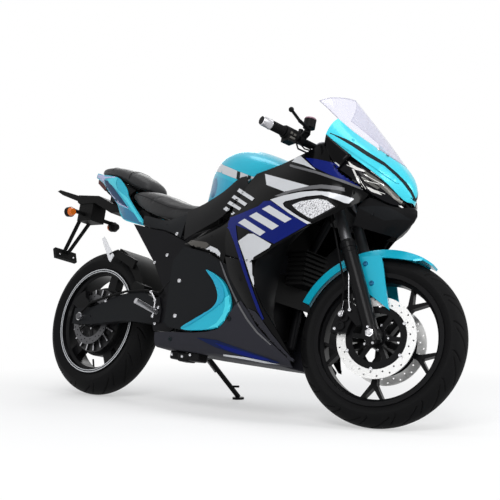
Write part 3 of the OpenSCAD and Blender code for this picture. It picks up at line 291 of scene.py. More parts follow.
# Shapes: lists of (points, faces) in millimetres
def tube(points, radius, sides=10):
    points = [Vector(p) for p in points]
    verts, faces = [], []
    side = None
    for k, p in enumerate(points):
        run = (points[min(k + 1, len(points) - 1)] - points[max(k - 1, 0)]).normalized()
        if side is None:
            side = run.orthogonal().normalized()
        side = (side - run * side.dot(run)).normalized()
        up = run.cross(side)
        for j in range(sides):
            a = 2 * math.pi * j / sides
            verts.append(p + radius * (math.cos(a) * side + math.sin(a) * up))
    for k in range(len(points) - 1):
        for j in range(sides):
            n = (j + 1) % sides
            faces.append((k * sides + j, k * sides + n, (k + 1) * sides + n, (k + 1) * sides + j))
    faces.append(tuple(reversed(range(sides))))
    faces.append(tuple(range((len(points) - 1) * sides, len(points) * sides)))
    return verts, faces


def lathe(centre, axis, profile, sides=20):
    """Turns (radius, height) points about an axis. A last radius of 0 closes the shape."""
    axis = Vector(axis).normalized()
    side = axis.orthogonal().normalized()
    up = axis.cross(side)
    centre = Vector(centre)
    verts, faces, rings = [], [], []
    for r, h in profile:
        count = sides if r else 1
        rings.append(range(len(verts), len(verts) + count))
        for j in range(count):
            a = 2 * math.pi * j / sides
            verts.append(centre + axis * h + r * (math.cos(a) * side + math.sin(a) * up))
    for low, high in zip(rings, rings[1:]):
        for j in range(sides):
            n = (j + 1) % sides
            top = (high[n], high[j]) if len(high) > 1 else high
            faces.append((low[j], low[n], *top))
    return verts, faces


def bolt(centre, axis, r):
    """A screw's round head with a hollow in it."""
    h = r * 0.7
    head = [(r, -0.5), (r, h * 0.55), (r * 0.8, h), (r * 0.5, h), (r * 0.46, h * 0.3), (0, h * 0.3)]
    return lathe(centre, axis, head, 16)


def hex_nut(centre, axis, r, h):
    return lathe(centre, axis, [(r, 0), (r, h * 0.85), (r * 0.88, h), (0, h)], 6)


def ring(centre, axis, r0, r1, h0, h1, sides=96):
    return lathe(centre, axis, [(r0, h0), (r1, h0), (r1, h1), (r0, h1), (r0, h0)], sides)


def slab(outline, y0, y1):
    """A plate cut to an outline of (x, z) points, from y0 to y1."""
    n = len(outline)
    verts = [Vector((x, y0, z)) for x, z in outline] + [Vector((x, y1, z)) for x, z in outline]
    faces = [tuple(range(n)), tuple(reversed(range(n, 2 * n)))]
    faces += [(k, k + n, (k + 1) % n + n, (k + 1) % n) for k in range(n)]
    return verts, faces


def crate(low, high):
    (x0, y0, z0), (x1, y1, z1) = low, high
    return slab([(x0, z0), (x1, z0), (x1, z1), (x0, z1)], y0, y1)


def moved(shape, matrix):
    verts, faces = shape
    return [matrix @ Vector(v) for v in verts], faces


def mirrored(shape):
    verts, faces = shape
    return [Vector((v[0], -v[1], v[2])) for v in verts], [tuple(reversed(f)) for f in faces]


def both(shapes):
    return shapes + [mirrored(s) for s in shapes]


def put(name, data):
    """A new object, in the scene."""
    piece = bpy.data.objects.new(name, data)
    bpy.context.scene.collection.objects.link(piece)
    return piece


def edit(data, change):
    """Runs one change on a mesh."""
    work = bmesh.new()
    work.from_mesh(data)
    change(work)
    work.to_mesh(data)
    work.free()


HARD_EDGE = math.radians(40)


def make(name, shapes, look, body="chassis", edge=0, smooth=HARD_EDGE):
    """One piece of shapes given in its body's millimetre frame, with bevelled edges of the given width."""
    verts, faces = [], []
    for v, f in shapes:
        base = len(verts)
        verts += [SPACES[body] @ Vector(p) for p in v]
        faces += [tuple(base + i for i in face) for face in f]
    data = bpy.data.meshes.new(name)
    data.from_pydata(verts, [], faces)
    edit(data, lambda work: bmesh.ops.recalc_face_normals(work, faces=work.faces))
    data.shade_smooth()
    data.set_sharp_from_angle(angle=smooth)
    piece = put(name, data)
    data.materials.append(MATS[look])
    if edge:
        bevel = modifier(piece, "edge", "BEVEL", width=edge * MM, segments=2)
        bevel.limit_method, bevel.angle_limit = "ANGLE", HARD_EDGE
    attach(piece, body)
    return piece


# Paint, trim, painted highlights and painted shade laid on the panels, by outline in photo pixels
TREES = {}


def face_tree(data):
    return BVHTree.FromPolygons([v.co for v in data.vertices], [p.vertices for p in data.polygons])


def tree(node):
    if node not in TREES:
        TREES[node] = face_tree(CAD[node].data)
    return TREES[node]


def on_panel(nodes, u, v, depth=None):
    """First point and normal that the photo's ray meets on the named CAD pieces, or the nearest to it."""
    run = photo_ray(u, v)
    best = None
    for node in nodes:
        place, normal, _, reach = tree(node).ray_cast(EYE, run)
        if place is not None and (best is None or reach < best[2]):
            best = (place, normal, reach)
    if best is None and depth is not None:
        near = [tree(node).find_nearest(EYE + run * depth) for node in nodes]
        place, normal, _, _ = min(near, key=lambda hit: hit[3])
        best = (place, normal, (place - EYE).length)
    if best is None:
        return None
    place, normal, reach = best
    if normal.dot(run) > 0:
        normal = -normal
    return place, normal, reach


def inside(point, outline):
    x, y = point
    odd = False
    for (x0, y0), (x1, y1) in zip(outline, outline[1:] + outline[:1]):
        if (y0 > y) != (y1 > y) and x < (x1 - x0) * (y - y0) / (y1 - y0) + x0:
            odd = not odd
    return odd


# A grid point keeps this far from the outline, in steps
EDGE_CLEAR = 0.45


def filled(outline, step):
    """Triangles that fill an outline, with points no further apart than the step."""
    edge = []
    for (x0, y0), (x1, y1) in zip(outline, outline[1:] + outline[:1]):
        count = max(1, math.ceil(math.hypot(x1 - x0, y1 - y0) / step))
        edge += [(x0 + (x1 - x0) * k / count, y0 + (y1 - y0) * k / count) for k in range(count)]
    xs, ys = [p[0] for p in edge], [p[1] for p in edge]
    grid = []
    for i in range(int((max(xs) - min(xs)) / step)):
        for j in range(int((max(ys) - min(ys)) / step)):
            point = (min(xs) + (i + 0.5) * step, min(ys) + (j + 0.5) * step)
            if not inside(point, edge):
                continue
            if min(math.hypot(point[0] - x, point[1] - y) for x, y in edge) > step * EDGE_CLEAR:
                grid.append(point)
    points = [Vector(p) for p in edge + grid]
    found = geometry.delaunay_2d_cdt(points, [], [list(range(len(edge)))], 1, 1e-4)
    return found[0], found[2]


# Paint: its mesh size in photo pixels or in mm of the side view, and the heights of its layers in mm
PAINT_STEP = 1.5
SIDE_STEP = 6
PAINT_LIFT = 0.5
PAINT_LAYER = 0.12
# Paint reaches the edge of a panel from this far off it, in metres, and spans no gap wider than this, in mm
MISS_LIMIT = 0.008
GAP_LIMIT = 30
# The side view's rays start this far right of the bike's middle. Paint on the left side faces this way.
SIDE_START = -400
OUTWARD = Vector((0.3, 1, 0.2))


def lay(nodes, points):
    """Where each pixel lies on the CAD pieces: on their edge if it is just off it, None if further off."""
    hits = [on_panel(nodes, p.x, p.y) for p in points]
    depths = [h[2] for h in hits if h]
    for k, p in enumerate(points):
        if depths and hits[k] is None:
            near = on_panel(nodes, p.x, p.y, sum(depths) / len(depths))
            run = photo_ray(p.x, p.y)
            off = (near[0] - EYE) - run * (near[0] - EYE).dot(run)
            hits[k] = near if off.length < MISS_LIMIT else None
    return hits


def lay_side(nodes, points):
    """Where points (x, z) of the bike's side view, in millimetres, lie on the right of a CAD piece."""
    run = (BIKE.to_3x3() @ Vector((0, 1, 0))).normalized()
    hits = []
    for p in points:
        place, normal, _, reach = tree(nodes[0]).ray_cast(BIKE @ Vector((p.x, SIDE_START, p.y)), run)
        hits.append((place, normal if normal.dot(run) < 0 else -normal, reach) if place else None)
    return hits


def drop_loose(work):
    bmesh.ops.delete(work, geom=[v for v in work.verts if not v.link_faces], context="VERTS")


def paint(name, nodes, look, outline, lift, from_side=False):
    """A skin over an outline on the named CAD pieces, and its mirror image."""
    step, place = (SIDE_STEP, lay_side) if from_side else (PAINT_STEP, lay)
    points, faces = filled(outline, step)
    hits = place(nodes, points)
    back = BIKE.inverted()
    laid = [back @ (h[0] + h[1] * lift * MM) if h else Vector() for h in hits]
    kept = []
    for face in faces:
        if any(hits[i] is None for i in face):
            continue
        if max((laid[a] - laid[b]).length for a, b in zip(face, face[1:] + face[:1])) < GAP_LIMIT:
            kept.append(tuple(face))
    if not kept:
        return
    right = (laid, kept)
    for side, shape, way in (("right", right, -1), ("left", mirrored(right), 1)):
        piece = make(f"{name}_{side}", [shape], look)
        edit(piece.data, drop_loose)
        aim = sum((p.normal for p in piece.data.polygons), Vector())
        if aim.dot(BIKE.to_3x3() @ Vector((OUTWARD.x, way * OUTWARD.y, OUTWARD.z))) < 0:
            piece.data.flip_normals()


# Black panel between the fairing and the strip of the nose cowl: its lower and its upper edge
BRIDGE_LOW = [Vector((506, 194, 944)), Vector((536, 194, 893)), Vector((572, 190, 850))]
BRIDGE_HIGH = [Vector((503, 189, 986)), Vector((556, 186, 945)), Vector((612, 177, 903))]
BRIDGE_BULGE = Vector((2, 4, 2))
BRIDGE_GRID = (10, 6)
BRIDGE_THICK = 2


def along(points, t):
    """A point on the curve through three points."""
    a, m, b = points
    return a * (1 - t) * (1 - 2 * t) + 4 * m * t * (1 - t) + b * t * (2 * t - 1)


def patch(low, high, bulge, grid):
    """A bulging sheet between two curves."""
    nu, nv = grid
    verts = []
    for i in range(nu + 1):
        for j in range(nv + 1):
            a, b = along(low, i / nu), along(high, i / nu)
            verts.append(a.lerp(b, j / nv) + bulge * math.sin(math.pi * j / nv))
    row = nv + 1
    cells = [i * row + j for i in range(nu) for j in range(nv)]
    return verts, [(n, n + 1, n + row + 1, n + row) for n in cells]


bridge = patch(BRIDGE_LOW, BRIDGE_HIGH, BRIDGE_BULGE, BRIDGE_GRID)
for side, shape in (("left", bridge), ("right", mirrored(bridge))):
    piece = make(f"nose_bridge_{side}", [shape], "black_gloss")
    TREES[piece.name] = face_tree(piece.data)
    modifier(piece, "depth", "SOLIDIFY", thickness=BRIDGE_THICK * MM, offset=0)

# Bright threads in the headlights: their two ends in pixels of the photo, and how thick and slanted they are
THREADS = {
    "a": ((363.9, 174.4), (383.9, 185.6)),
    "b": ((364.4, 180.6), (379.4, 184.4)),
    "c": ((347, 165), (355.5, 169)),
    "d": ((358, 176), (366, 189)),
    "e": ((368, 188), (385, 194)),
}
THREAD_HALF, THREAD_SLANT = 0.3, 0.2


def thread(a, b):
    over = [(u, v - THREAD_HALF) for u, v in (a, b)]
    return over + [(u - THREAD_SLANT, v + THREAD_HALF) for u, v in (b, a)]


# The pieces that the short bars lie across
SPAR = "spar_covers+flank_panels+fairing_sides"
# name, CAD pieces it lies on, material, outline in pixels of the 500 x 500 photo
PAINT = [
    ("cowl_groove", "nose_cowl", "gap_dark",
     [(330, 132.7), (346.9, 139.4), (357.9, 145.4), (370, 153.3), (384.5, 162.4), (396.6, 172.7),
      (406.3, 182.4), (412.4, 190.9), (416.6, 201.2), (414.8, 201.8), (410, 192.7), (402.7, 183),
      (395.4, 175.7), (384.5, 166), (367.5, 156.3), (355.4, 148.5), (345.1, 142.4), (329.4, 135.1)]),
    # Painted shade: a grey line along the fold between the silver patches above and below it
    ("ridge_fold_shade", "fairing_sides", "grey_line",
     [(274.2, 196.1), (291.2, 189.7), (306.9, 186), (321.5, 184.6), (337.2, 186.2), (344.5, 187.9),
      (344.5, 191.7), (339.6, 190.3), (321.5, 188.5), (306.9, 189.6), (291.2, 192.5), (279.1, 196.6)]),
    ("side_quad", "fairing_sides", "silver_paint",
     [(265.1, 173.9), (309.3, 186), (298.4, 188.5), (284.5, 191.7), (266.6, 184.9)]),
    ("lens_band", "fairing_sides", "silver_paint",
     [(270.3, 199.7), (283.9, 195.4), (300.9, 192), (315.4, 190.9), (328.7, 192), (343.3, 195.4),
      (354.2, 199), (348.7, 203.6), (344.5, 203.1), (337.8, 200.2), (321.5, 194.9), (306.9, 196.3),
      (285.1, 201.4), (282.9, 203.6), (284.5, 207), (298.4, 216.3), (311.2, 223.2), (306.9, 224),
      (289.4, 213.5)]),
    ("lens_rim", "fairing_sides", "rim_black",
     [(284.5, 202.9), (302.1, 198.5), (320.2, 196.1), (328.7, 198.2), (338.2, 204.8), (336.2, 208),
      (313, 220.8), (309.3, 220.8), (297.2, 213.9), (285.7, 206.3)]),
    ("lens_glass", "fairing_sides", "mesh_lens",
     [(292.1, 205.2), (300.9, 201.4), (317.8, 198.8), (326.5, 200.2), (334.8, 206.5), (312, 218.6),
      (308.1, 217.3), (297.2, 210.3)]),
    ("blue_field", "fairing_sides", "blue_paint",
     [(220.6, 220.3), (233, 216.9), (258.5, 206.3), (263.9, 201.4), (270.8, 200.9), (289.4, 214),
      (307.5, 224.4), (303.9, 226.9), (290, 234.9), (274.2, 243.8), (262.1, 238.1), (247.5, 229.7),
      (236, 225.2), (228.2, 224.2)]),
    ("slant_bar_a", "fairing_sides", "silver_paint",
     [(249.4, 216.3), (256.6, 212.3), (279.1, 226), (272.4, 230)]),
    ("slant_bar_b", "fairing_sides", "silver_paint",
     [(262.1, 209.1), (269.4, 205.4), (291.8, 219.1), (285.1, 222.8)]),
    ("slant_bar_c", "fairing_sides", "silver_paint",
     [(238.5, 222.8), (244.9, 218.8), (265.7, 232.1), (260.3, 236.1)]),
    ("short_bar_a", SPAR, "silver_paint",
     [(223.3, 209.1), (226.3, 206.6), (235.4, 213.3), (232.4, 215.1)]),
    ("short_bar_b", SPAR, "silver_paint",
     [(227.6, 203.6), (230.2, 200.9), (241.5, 208.2), (239.7, 210.6)]),
    ("short_bar_c", SPAR, "silver_paint",
     [(232, 197.8), (234.5, 195.1), (247.5, 203.8), (245.1, 206.3)]),
    ("short_bar_d", SPAR, "silver_paint",
     [(237.4, 191.5), (239.7, 188.5), (254.8, 198.5), (252.4, 201.2)]),
    ("leg_silver", "fairing_sides+fairing_legs", "silver_paint",
     [(238.5, 241.2), (248.8, 233.9), (253.6, 233.9), (271.5, 244.3), (269.4, 247.8), (253.8, 257.2),
      (252.2, 263.2), (252.6, 273.9), (254.3, 287.8), (250.2, 275.7), (244.2, 256.9)]),
    ("leg_blue", "fairing_sides+fairing_legs", "blue_paint",
     [(220.3, 220.3), (228.2, 224.2), (236, 225.2), (238.1, 242.4), (242.7, 256.9), (248.2, 275.7),
      (254.8, 294.5), (260.6, 310), (264.3, 318.7), (262.7, 319.9), (257.5, 310), (250, 289.6),
      (242.7, 269), (234.5, 242.4), (229.4, 229.7)]),
    ("tank_stripe", "tank_cover", "silver_paint",
     [(222, 164.6), (228.2, 167), (237.9, 171.1), (247.5, 174.8), (253.6, 176.9), (262.7, 172.3),
      (261.7, 184), (251.2, 180), (247.5, 181.2), (239.7, 180.2), (230.6, 176.7), (222.1, 173.3)]),
    ("tank_gap_a", "tank_cover", "gap_dark",
     [(237.4, 171), (240.4, 172.1), (239.8, 180.6), (236.4, 178.9)]),
    ("tank_gap_b", "tank_cover", "gap_dark",
     [(248.2, 175.1), (251.4, 176.1), (250, 180.6), (246.6, 181.2)]),
    ("tail_lilac", "tail_panels", "lilac_paint",
     [(96.4, 179.1), (98.2, 174.8), (102.4, 172.9), (107.9, 173.7), (120.6, 175.9), (115.1, 177.4),
      (105.1, 178.6), (103.9, 181.7), (107.9, 187.6), (113.9, 196.6), (119.6, 202.3), (128.5, 206.9),
      (127.9, 208.4), (118.8, 204.2), (112.7, 198.5), (104.8, 188.2), (99.4, 181.7)]),
    ("tail_navy", "tail_panels", "dusk_blue",
     [(104.6, 180), (108.4, 181), (114.6, 189), (122, 198.8), (128.4, 208), (117.4, 202.2),
      (111, 195.6), (106.8, 189)]),
    ("tail_deep", "tail_panels", "teal_paint",
     [(118.6, 205.4), (128.4, 209.2), (134, 213.6), (139.4, 219.8), (142, 224.6), (124, 218.8)]),
    ("tail_bright", "tail_panels", "light_cyan",
     [(107.5, 178.8), (115.1, 177.4), (120.6, 176.1), (116.7, 180.3), (116, 184.5), (118.2, 190),
      (127.9, 197.9), (129.7, 200.9), (143.6, 223.4), (139.4, 221.5), (127.9, 203.3), (118.2, 191.2),
      (109.1, 182.7)]),
    ("flank_grey", "flank_panels", "warm_grey",
     [(185.4, 241.1), (190.3, 239.9), (206.4, 242.1), (209.3, 244.8), (203.2, 251.3), (193.3, 246.9)]),
    ("nose_grey", "nose_bridge_right", "grey_line",
     [(326.4, 136.8), (330, 137.6), (348, 149.2), (360, 158), (352, 158.8), (344, 156), (334, 150.4),
      (325.6, 143.2)]),
    ("nose_blue", "fairing_sides+nose_bridge_right", "blue_paint",
     [(305.6, 158), (316, 159), (334, 163), (345, 171), (358, 182), (368, 191), (362, 188.4),
      (348, 183), (328, 174), (314, 167)]),
    ("nose_blue_line", "fairing_sides+nose_bridge_right", "silver_paint",
     [(334, 162), (336.4, 162.6), (354, 177.6), (368, 190.6), (366, 190.8), (352, 178.4)]),
    ("flank_triangle", "fairing_sides", "silver_paint",
     [(288.8, 160.8), (300.8, 156), (316, 170), (304, 165.2)]),
    # Painted highlight: a light grey line along the fairing's ridge
    ("ridge_highlight", "fairing_sides", "grey_line",
     [(290, 164.4), (316, 171), (344, 180.4), (362, 188), (368, 191.2), (362, 190), (344, 183.2),
      (316, 173.6), (290, 166.8)]),
    ("lamp_white", "headlights", "chrome",
     [(347.6, 160.4), (352, 164.4), (357.6, 167.6), (364, 170), (368, 173), (362, 171.6), (355, 169.6),
      (350, 166)]),
    ("lamp_line", "headlights", "chrome",
     [(352, 169), (354, 169), (363, 188), (361.6, 188.8)]),
    ("lamp_low_a", "headlights", "lamp_grey",
     [(360, 176), (366, 179), (380, 188), (377, 189.2), (366, 182.4)]),
    ("lamp_low_b", "headlights", "chrome",
     [(366, 186), (378, 191.6), (382, 195.2), (371, 191.6)]),
    ("lamp_top", "headlights", "lamp_grey",
     [(364, 170.4), (376, 178), (388, 187.6), (400, 198), (406, 205), (400, 203.6), (388, 194),
      (376, 184), (367, 177)]),
    # Painted reflection: a grey patch on the top face of the black chin panel
    ("chin_painted_reflection", "chin_panel", "dark_grey",
     [(357, 207), (375, 205.5), (389, 207), (402, 214), (412.5, 220.5), (398, 219.5), (384, 220.5),
      (371.5, 214.5)]),
    *((f"lamp_thread_{key}", "headlights", "chrome", thread(*ends)) for key, ends in THREADS.items()),
    ("cowl_light", "nose_cowl", "light_cyan",
     [(326.4, 132.8), (334, 135.6), (352, 146.4), (372, 160), (388, 172), (400, 184), (396, 183.2),
      (384, 175), (368, 163.6), (348, 150), (332, 140)]),
    ("nose_notch", "nose_cowl", "gap_dark",
     [(386, 153.6), (394, 156), (401, 162.4), (398, 162.4), (391, 158.4), (386, 156)]),
    ("flank_silver", "flank_panels", "silver_paint",
     [(203.7, 250.8), (210.8, 246), (218, 249.3), (220.8, 253.3), (219.7, 258.7), (217, 257.3),
      (211.7, 254.3)]),
    # Painted highlight: a thin grey line along the fairing leg's rear edge
    ("leg_edge_highlight", "fairing_legs+fairing_sides+side_covers+belly_pan", "grey_line",
     [(220, 261.7), (221.3, 261.7), (227, 276.7), (233.3, 291.7), (240, 305), (248.3, 319.2),
      (258.3, 332), (271.7, 344.7), (270.3, 345), (256.7, 333), (246.7, 320), (238.3, 305.8),
      (232, 292.3), (225.3, 277.3)]),
    ("leg_charcoal", "fairing_legs", "charcoal",
     [(240.3, 308), (248.3, 308.3), (255.8, 311.7), (260, 316.7), (271.7, 333.3), (285, 350),
      (295.8, 362.5), (290, 359.7), (271.7, 344), (258.3, 331.3), (248.3, 318.3)]),
    ("belly_blue", "belly_pan", "navy_paint",
     [(196.7, 337.5), (216.7, 340), (245, 350), (265, 356.7), (280, 362.5), (275, 363.3),
      (248.3, 357.5), (231.7, 352.5), (215, 346.7)]),
    ("belly_blue_deep", "belly_pan", "blue_paint",
     [(215, 342.5), (235, 348.7), (258.3, 356), (271.7, 360.3), (258.3, 359.3), (238.3, 353.7),
      (225, 349.3)]),
    ("belly_silver", "belly_pan", "silver_paint",
     [(223.7, 354.2), (245, 357), (265, 361), (280, 364), (265, 362.7), (245, 358.8), (223.7, 355.5)]),
    # Painted shade and painted highlight on the swoosh: a deep cyan band along one edge and a light cyan band
    # along the other
    ("swoosh_painted_shade", "swooshes", "deep_cyan",
     [(206.3, 270), (212.3, 273.7), (219.7, 280.8), (223.7, 288.7), (224.7, 296.7), (222.7, 301.7),
      (213, 309.7), (199.7, 318.7), (186.7, 326.7), (181.7, 327.7), (188.7, 322.5), (203.3, 313.7),
      (214, 305), (217, 297), (216.3, 288.7), (212.7, 280.3)]),
    ("swoosh_painted_highlight", "swooshes", "light_cyan",
     [(225.3, 298), (229.7, 294.7), (231, 300.8), (229.3, 310.3), (224.7, 320), (217.5, 327),
      (207.5, 328.7), (216.7, 323), (223, 314.2), (225.3, 305.8)]),
]


def span(outline):
    xs, ys = zip(*outline)
    return min(xs), min(ys), max(xs), max(ys)


def crossing(a, b):
    return a[0] < b[2] and b[0] < a[2] and a[1] < b[3] and b[1] < a[3]


# Paint that lies over other paint is lifted by one layer more
LAYERS = []
for name, nodes, look, outline in PAINT:
    box = span(outline)
    layer = 1 + max((n for n, other in LAYERS if crossing(box, other)), default=0)
    LAYERS.append((layer, box))
    paint(name, nodes.split("+"), look, outline, PAINT_LIFT + PAINT_LAYER * layer)

# Paint on the tank that the photo sees at a slant: outlines of (x, z) points of the bike's side view
STRIPE_REAR = [(-30, 943), (-30, 909), (-60, 919), (-96, 931), (-84, 964)]
KNEE_SHADE = [(-84, 908), (-40, 893), (20, 872), (84, 846), (66, 834), (20, 824), (-30, 806), (-70, 798),
              (-112, 806), (-117, 850), (-106, 890)]
# The oval of darker painted shade in the knee recess's deepest part: its centre, half sizes and slant in mm
KNEE_CENTRE, KNEE_HALF, KNEE_SLANT = (-75, 855), (30, 43), -0.15
KNEE_POINTS = 32
knee = []
for k in range(KNEE_POINTS):
    turn = 2 * math.pi * k / KNEE_POINTS
    rise = KNEE_HALF[1] * math.sin(turn)
    knee.append((KNEE_CENTRE[0] + KNEE_HALF[0] * math.cos(turn) + KNEE_SLANT * rise, KNEE_CENTRE[1] + rise))
paint("stripe_rear", ["tank_cover"], "silver_paint", STRIPE_REAR, PAINT_LIFT, from_side=True)
# Painted shade in the knee recess: a deep cyan wedge, with a darker teal oval over its deepest part
paint("knee_shade", ["tank_cover"], "deep_cyan", KNEE_SHADE, PAINT_LIFT, from_side=True)
paint("knee_recess_shade", ["tank_cover"], "teal_paint", knee, PAINT_LIFT + PAINT_LAYER, from_side=True)

# Tyres with cut treads stand for the plain CAD tyres: sizes in mm, angles across the tread in radians
BEAD_R, BEAD_IN = 221, 1
SEAT_R, SEAT_OUT = 232, 1.5
FLANGE_RISE = 7
LIP_SHARE, FLANGE_SHARE = 0.76, 1.12
TYRE_WALL = 9
OUTER_ARC, INNER_ARC = 1.32, 1.2
AROUND, OVER, INSIDE = 840, 61, 9
TYRE_HARD = math.radians(60)
# Grooves: depth, how their walls and ends run out, the shift of one side, and the shape of their sweep
GROOVE_DEPTH, GROOVE_WALL, GROOVE_END = 4.0, 1.35, 0.06
SIDE_SHIFT = 0.25
SWEEP_START, SWEEP_LENGTH, SWEEP_POWER, SWEEP_BOW = 0.05, 0.95, 1.4, 0.10
# Grooves of one tread pitch: place along the pitch, inner and outer end, half width in mm, how far they sweep
TREAD = [(0.0, 0.10, 1.02, 3.0, 0.85), (0.5, 0.42, 1.16, 2.4, 0.55)]


def groove_depths(share, turn, radius, pitches):
    """Depth of the tread at each turn about the axle and each angle across the tread."""
    depth = np.zeros((len(turn), len(share)))
    for side in (-1, 1):
        s = share * side
        lane = np.clip((s - SWEEP_START) / SWEEP_LENGTH, 0, 1)
        for shift, low, high, width, lean in TREAD:
            middle = shift + side * SIDE_SHIFT + lean * lane**SWEEP_POWER + SWEEP_BOW * np.sin(lane * math.pi)
            phase = turn[:, None] / (2 * math.pi) * pitches - middle[None, :]
            away = np.abs(phase - np.round(phase)) / pitches * 2 * math.pi * radius
            cut = np.clip(GROOVE_WALL - away / width, 0, 1) * GROOVE_DEPTH
            on = ((s > low) & (s < high))[None, :]
            fade = np.clip(np.minimum(s - low, high - s) / GROOVE_END, 0, 1)[None, :]
            depth = np.maximum(depth, np.where(on, cut * fade, 0))
    return depth


def tyre(name, node, body, axle, half_width, pitches):
    """A tyre that stands on the ground, its tread repeated in a number of pitches."""
    radius, lip = axle.z, half_width * LIP_SHARE
    centre, inner = radius - half_width, half_width - TYRE_WALL
    arc = np.linspace(-OUTER_ARC, OUTER_ARC, OVER)
    foot = [(BEAD_R, lip - BEAD_IN), (SEAT_R, lip + SEAT_OUT), (SEAT_R + FLANGE_RISE, lip * FLANGE_SHARE)]
    profile = [(r, -y) for r, y in foot]
    profile += [(centre + half_width * math.cos(a), half_width * math.sin(a)) for a in arc]
    profile += reversed(foot)
    back_arc = np.linspace(INNER_ARC, -INNER_ARC, INSIDE)
    profile += [(centre + inner * math.cos(a), inner * math.sin(a)) for a in back_arc]
    rows = np.array(profile)
    count = len(rows)
    share = np.zeros(count)
    share[len(foot) : len(foot) + OVER] = arc
    turn = np.linspace(0, 2 * math.pi, AROUND, endpoint=False)
    depth = groove_depths(share, turn, radius, pitches)
    radial = rows[None, :, 0] - depth * np.cos(share)[None, :]
    sideways = rows[None, :, 1] - depth * np.sin(share)[None, :]
    x = axle.x + radial * np.cos(turn)[:, None]
    z = axle.z + radial * np.sin(turn)[:, None]
    verts = np.stack([x, sideways, z], axis=-1).reshape(-1, 3)
    faces = []
    for i in range(AROUND):
        here, after = i * count, (i + 1) % AROUND * count
        for j in range(count):
            n = (j + 1) % count
            faces.append((here + j, here + n, after + n, after + j))
    piece = make(name, [(verts, faces)], "rubber", body, smooth=TYRE_HARD)
    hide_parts(node)


tyre("front_tread", "front_tyre", "front_wheel", FRONT_AXLE, 55, 17)
tyre("rear_tread", "rear_tyre", "rear_wheel", REAR_AXLE, 70, 15)

# Wheels: two-tone discs and motor, stripes on the rear rim, rivets and valves
ACROSS = Vector((0, 1, 0))
FRONT_CARRIER_R, REAR_CARRIER_R = 107, 77
MOTOR_COVER_R, MOTOR_COVER_Y = (86, 150), 60
RIM_STRIPES, STRIPE_Y = ((214.5, 217.5), (222, 226)), (59.3, 60.0)
DISC_FACE, REAR_DISC_FACE, MOTOR_FACE = 59.4, 84.4, 62.5


def from_axle(p, axle):
    return math.hypot(p.x - axle.x, p.z - axle.z)


def on_cover(p):
    low, high = MOTOR_COVER_R
    return low < from_axle(p, REAR_AXLE) < high and abs(p.y) > MOTOR_COVER_Y


def round_axle(axle, radius, degrees, y):
    a = math.radians(degrees)
    return Vector((axle.x + radius * math.cos(a), y, axle.z + radius * math.sin(a)))


def bolt_circle(axle, radius, count, y, r, start=0):
    return [bolt(round_axle(axle, radius, start + 360 * k / count, y), ACROSS, r) for k in range(count)]


two_tone("front_discs", "rim_black", lambda p: from_axle(p, FRONT_AXLE) < FRONT_CARRIER_R, FORK)
two_tone("hub_motor", "alloy", on_cover)
two_tone("rear_disc", "rim_black", lambda p: from_axle(p, REAR_AXLE) < REAR_CARRIER_R)
stripes = [ring(REAR_AXLE, ACROSS, r0, r1, *STRIPE_Y, 128) for r0, r1 in RIM_STRIPES]
make("rim_stripes", both(stripes), "silver_paint", "rear_wheel")
rivets = bolt_circle(FRONT_AXLE, FRONT_CARRIER_R, 6, DISC_FACE, 6.5, start=30)
rivets += bolt_circle(FRONT_AXLE, 44, 5, DISC_FACE, 4.5)
make("front_rivets", both(rivets), "steel", "front_wheel")
rear_rivets = [mirrored(b) for b in bolt_circle(REAR_AXLE, 42, 5, REAR_DISC_FACE, 4.5)]
make("rear_rivets", rear_rivets, "steel", "rear_wheel")
make("hub_bolts", bolt_circle(REAR_AXLE, 74, 8, MOTOR_FACE, 5), "steel", "rear_wheel")
VALVE_R = 4
valve_front = tube([round_axle(FRONT_AXLE, 198, 100, 6), round_axle(FRONT_AXLE, 170, 100, 12)], VALVE_R)
valve_rear = tube([round_axle(REAR_AXLE, 196, 265, -8), round_axle(REAR_AXLE, 166, 265, -20)], VALVE_R)
make("valve_front", [valve_front], "black_satin", "front_wheel")
make("valve_rear", [valve_rear], "black_satin", "rear_wheel")
make("rear_axle_nuts", both([hex_nut(REAR_AXLE + 150 * ACROSS, ACROSS, 15, 8)]), "dark_steel")

# Front discs: the carriers' rims, the axle nuts and the calipers' bolts and fittings
LEG_Y = 98
CALIPER_FACE, CALIPER_BOLTS = 83, ((142, 149), (142, 175))
POT_R, POTS = 124, (155, 169)
POT_PROFILE = [(17, -2), (17, 5), (15, 8), (7, 8), (6, 6), (0, 6)]
HOSE_END, PIPE_END = Vector((582, 106, 352)), (610, 100, 370)
BRAKE_PIPE = [(610, 104, 372), (604, 108, 400), (597, 113, 452), (588, 117, 520)]


def fork_at(t, out=0):
    """Point t millimetres up a fork leg from the axle, and out from the leg's middle."""
    return FRONT_AXLE + (LEG_Y + out) * ACROSS + t * STEER_DIR


make("disc_carriers", both([ring(FRONT_AXLE, ACROSS, 84, 107.5, 55.2, 58.6)]), "rim_black", "front_wheel")
axle_ends = [hex_nut(FRONT_AXLE + 120.5 * ACROSS, ACROSS, 15, 6)]
axle_ends.append(lathe(FRONT_AXLE + 127 * ACROSS, ACROSS, [(9, 0), (9, 5), (7, 7), (0, 7)]))
make("axle_ends", both(axle_ends), "steel", "fork")
pinch = [bolt(fork_at(-34, 20), (0.5, 0.6, -0.6), 5), bolt(fork_at(20, 27), ACROSS, 5)]
make("pinch_bolts", both(pinch), "steel", "fork")
caliper_bolts = [bolt(round_axle(FRONT_AXLE, r, a, CALIPER_FACE), ACROSS, 6) for r, a in CALIPER_BOLTS]
make("caliper_bolts", both(caliper_bolts), "steel", "fork")
pots = [lathe(round_axle(FRONT_AXLE, POT_R, a, CALIPER_FACE), ACROSS, POT_PROFILE, 28) for a in POTS]
make("caliper_pots", both(pots), "black_satin", "fork")
banjo = [ring(HOSE_END, ACROSS, 4, 9, -4, 4, 20), bolt(HOSE_END + 4 * ACROSS, ACROSS, 7)]
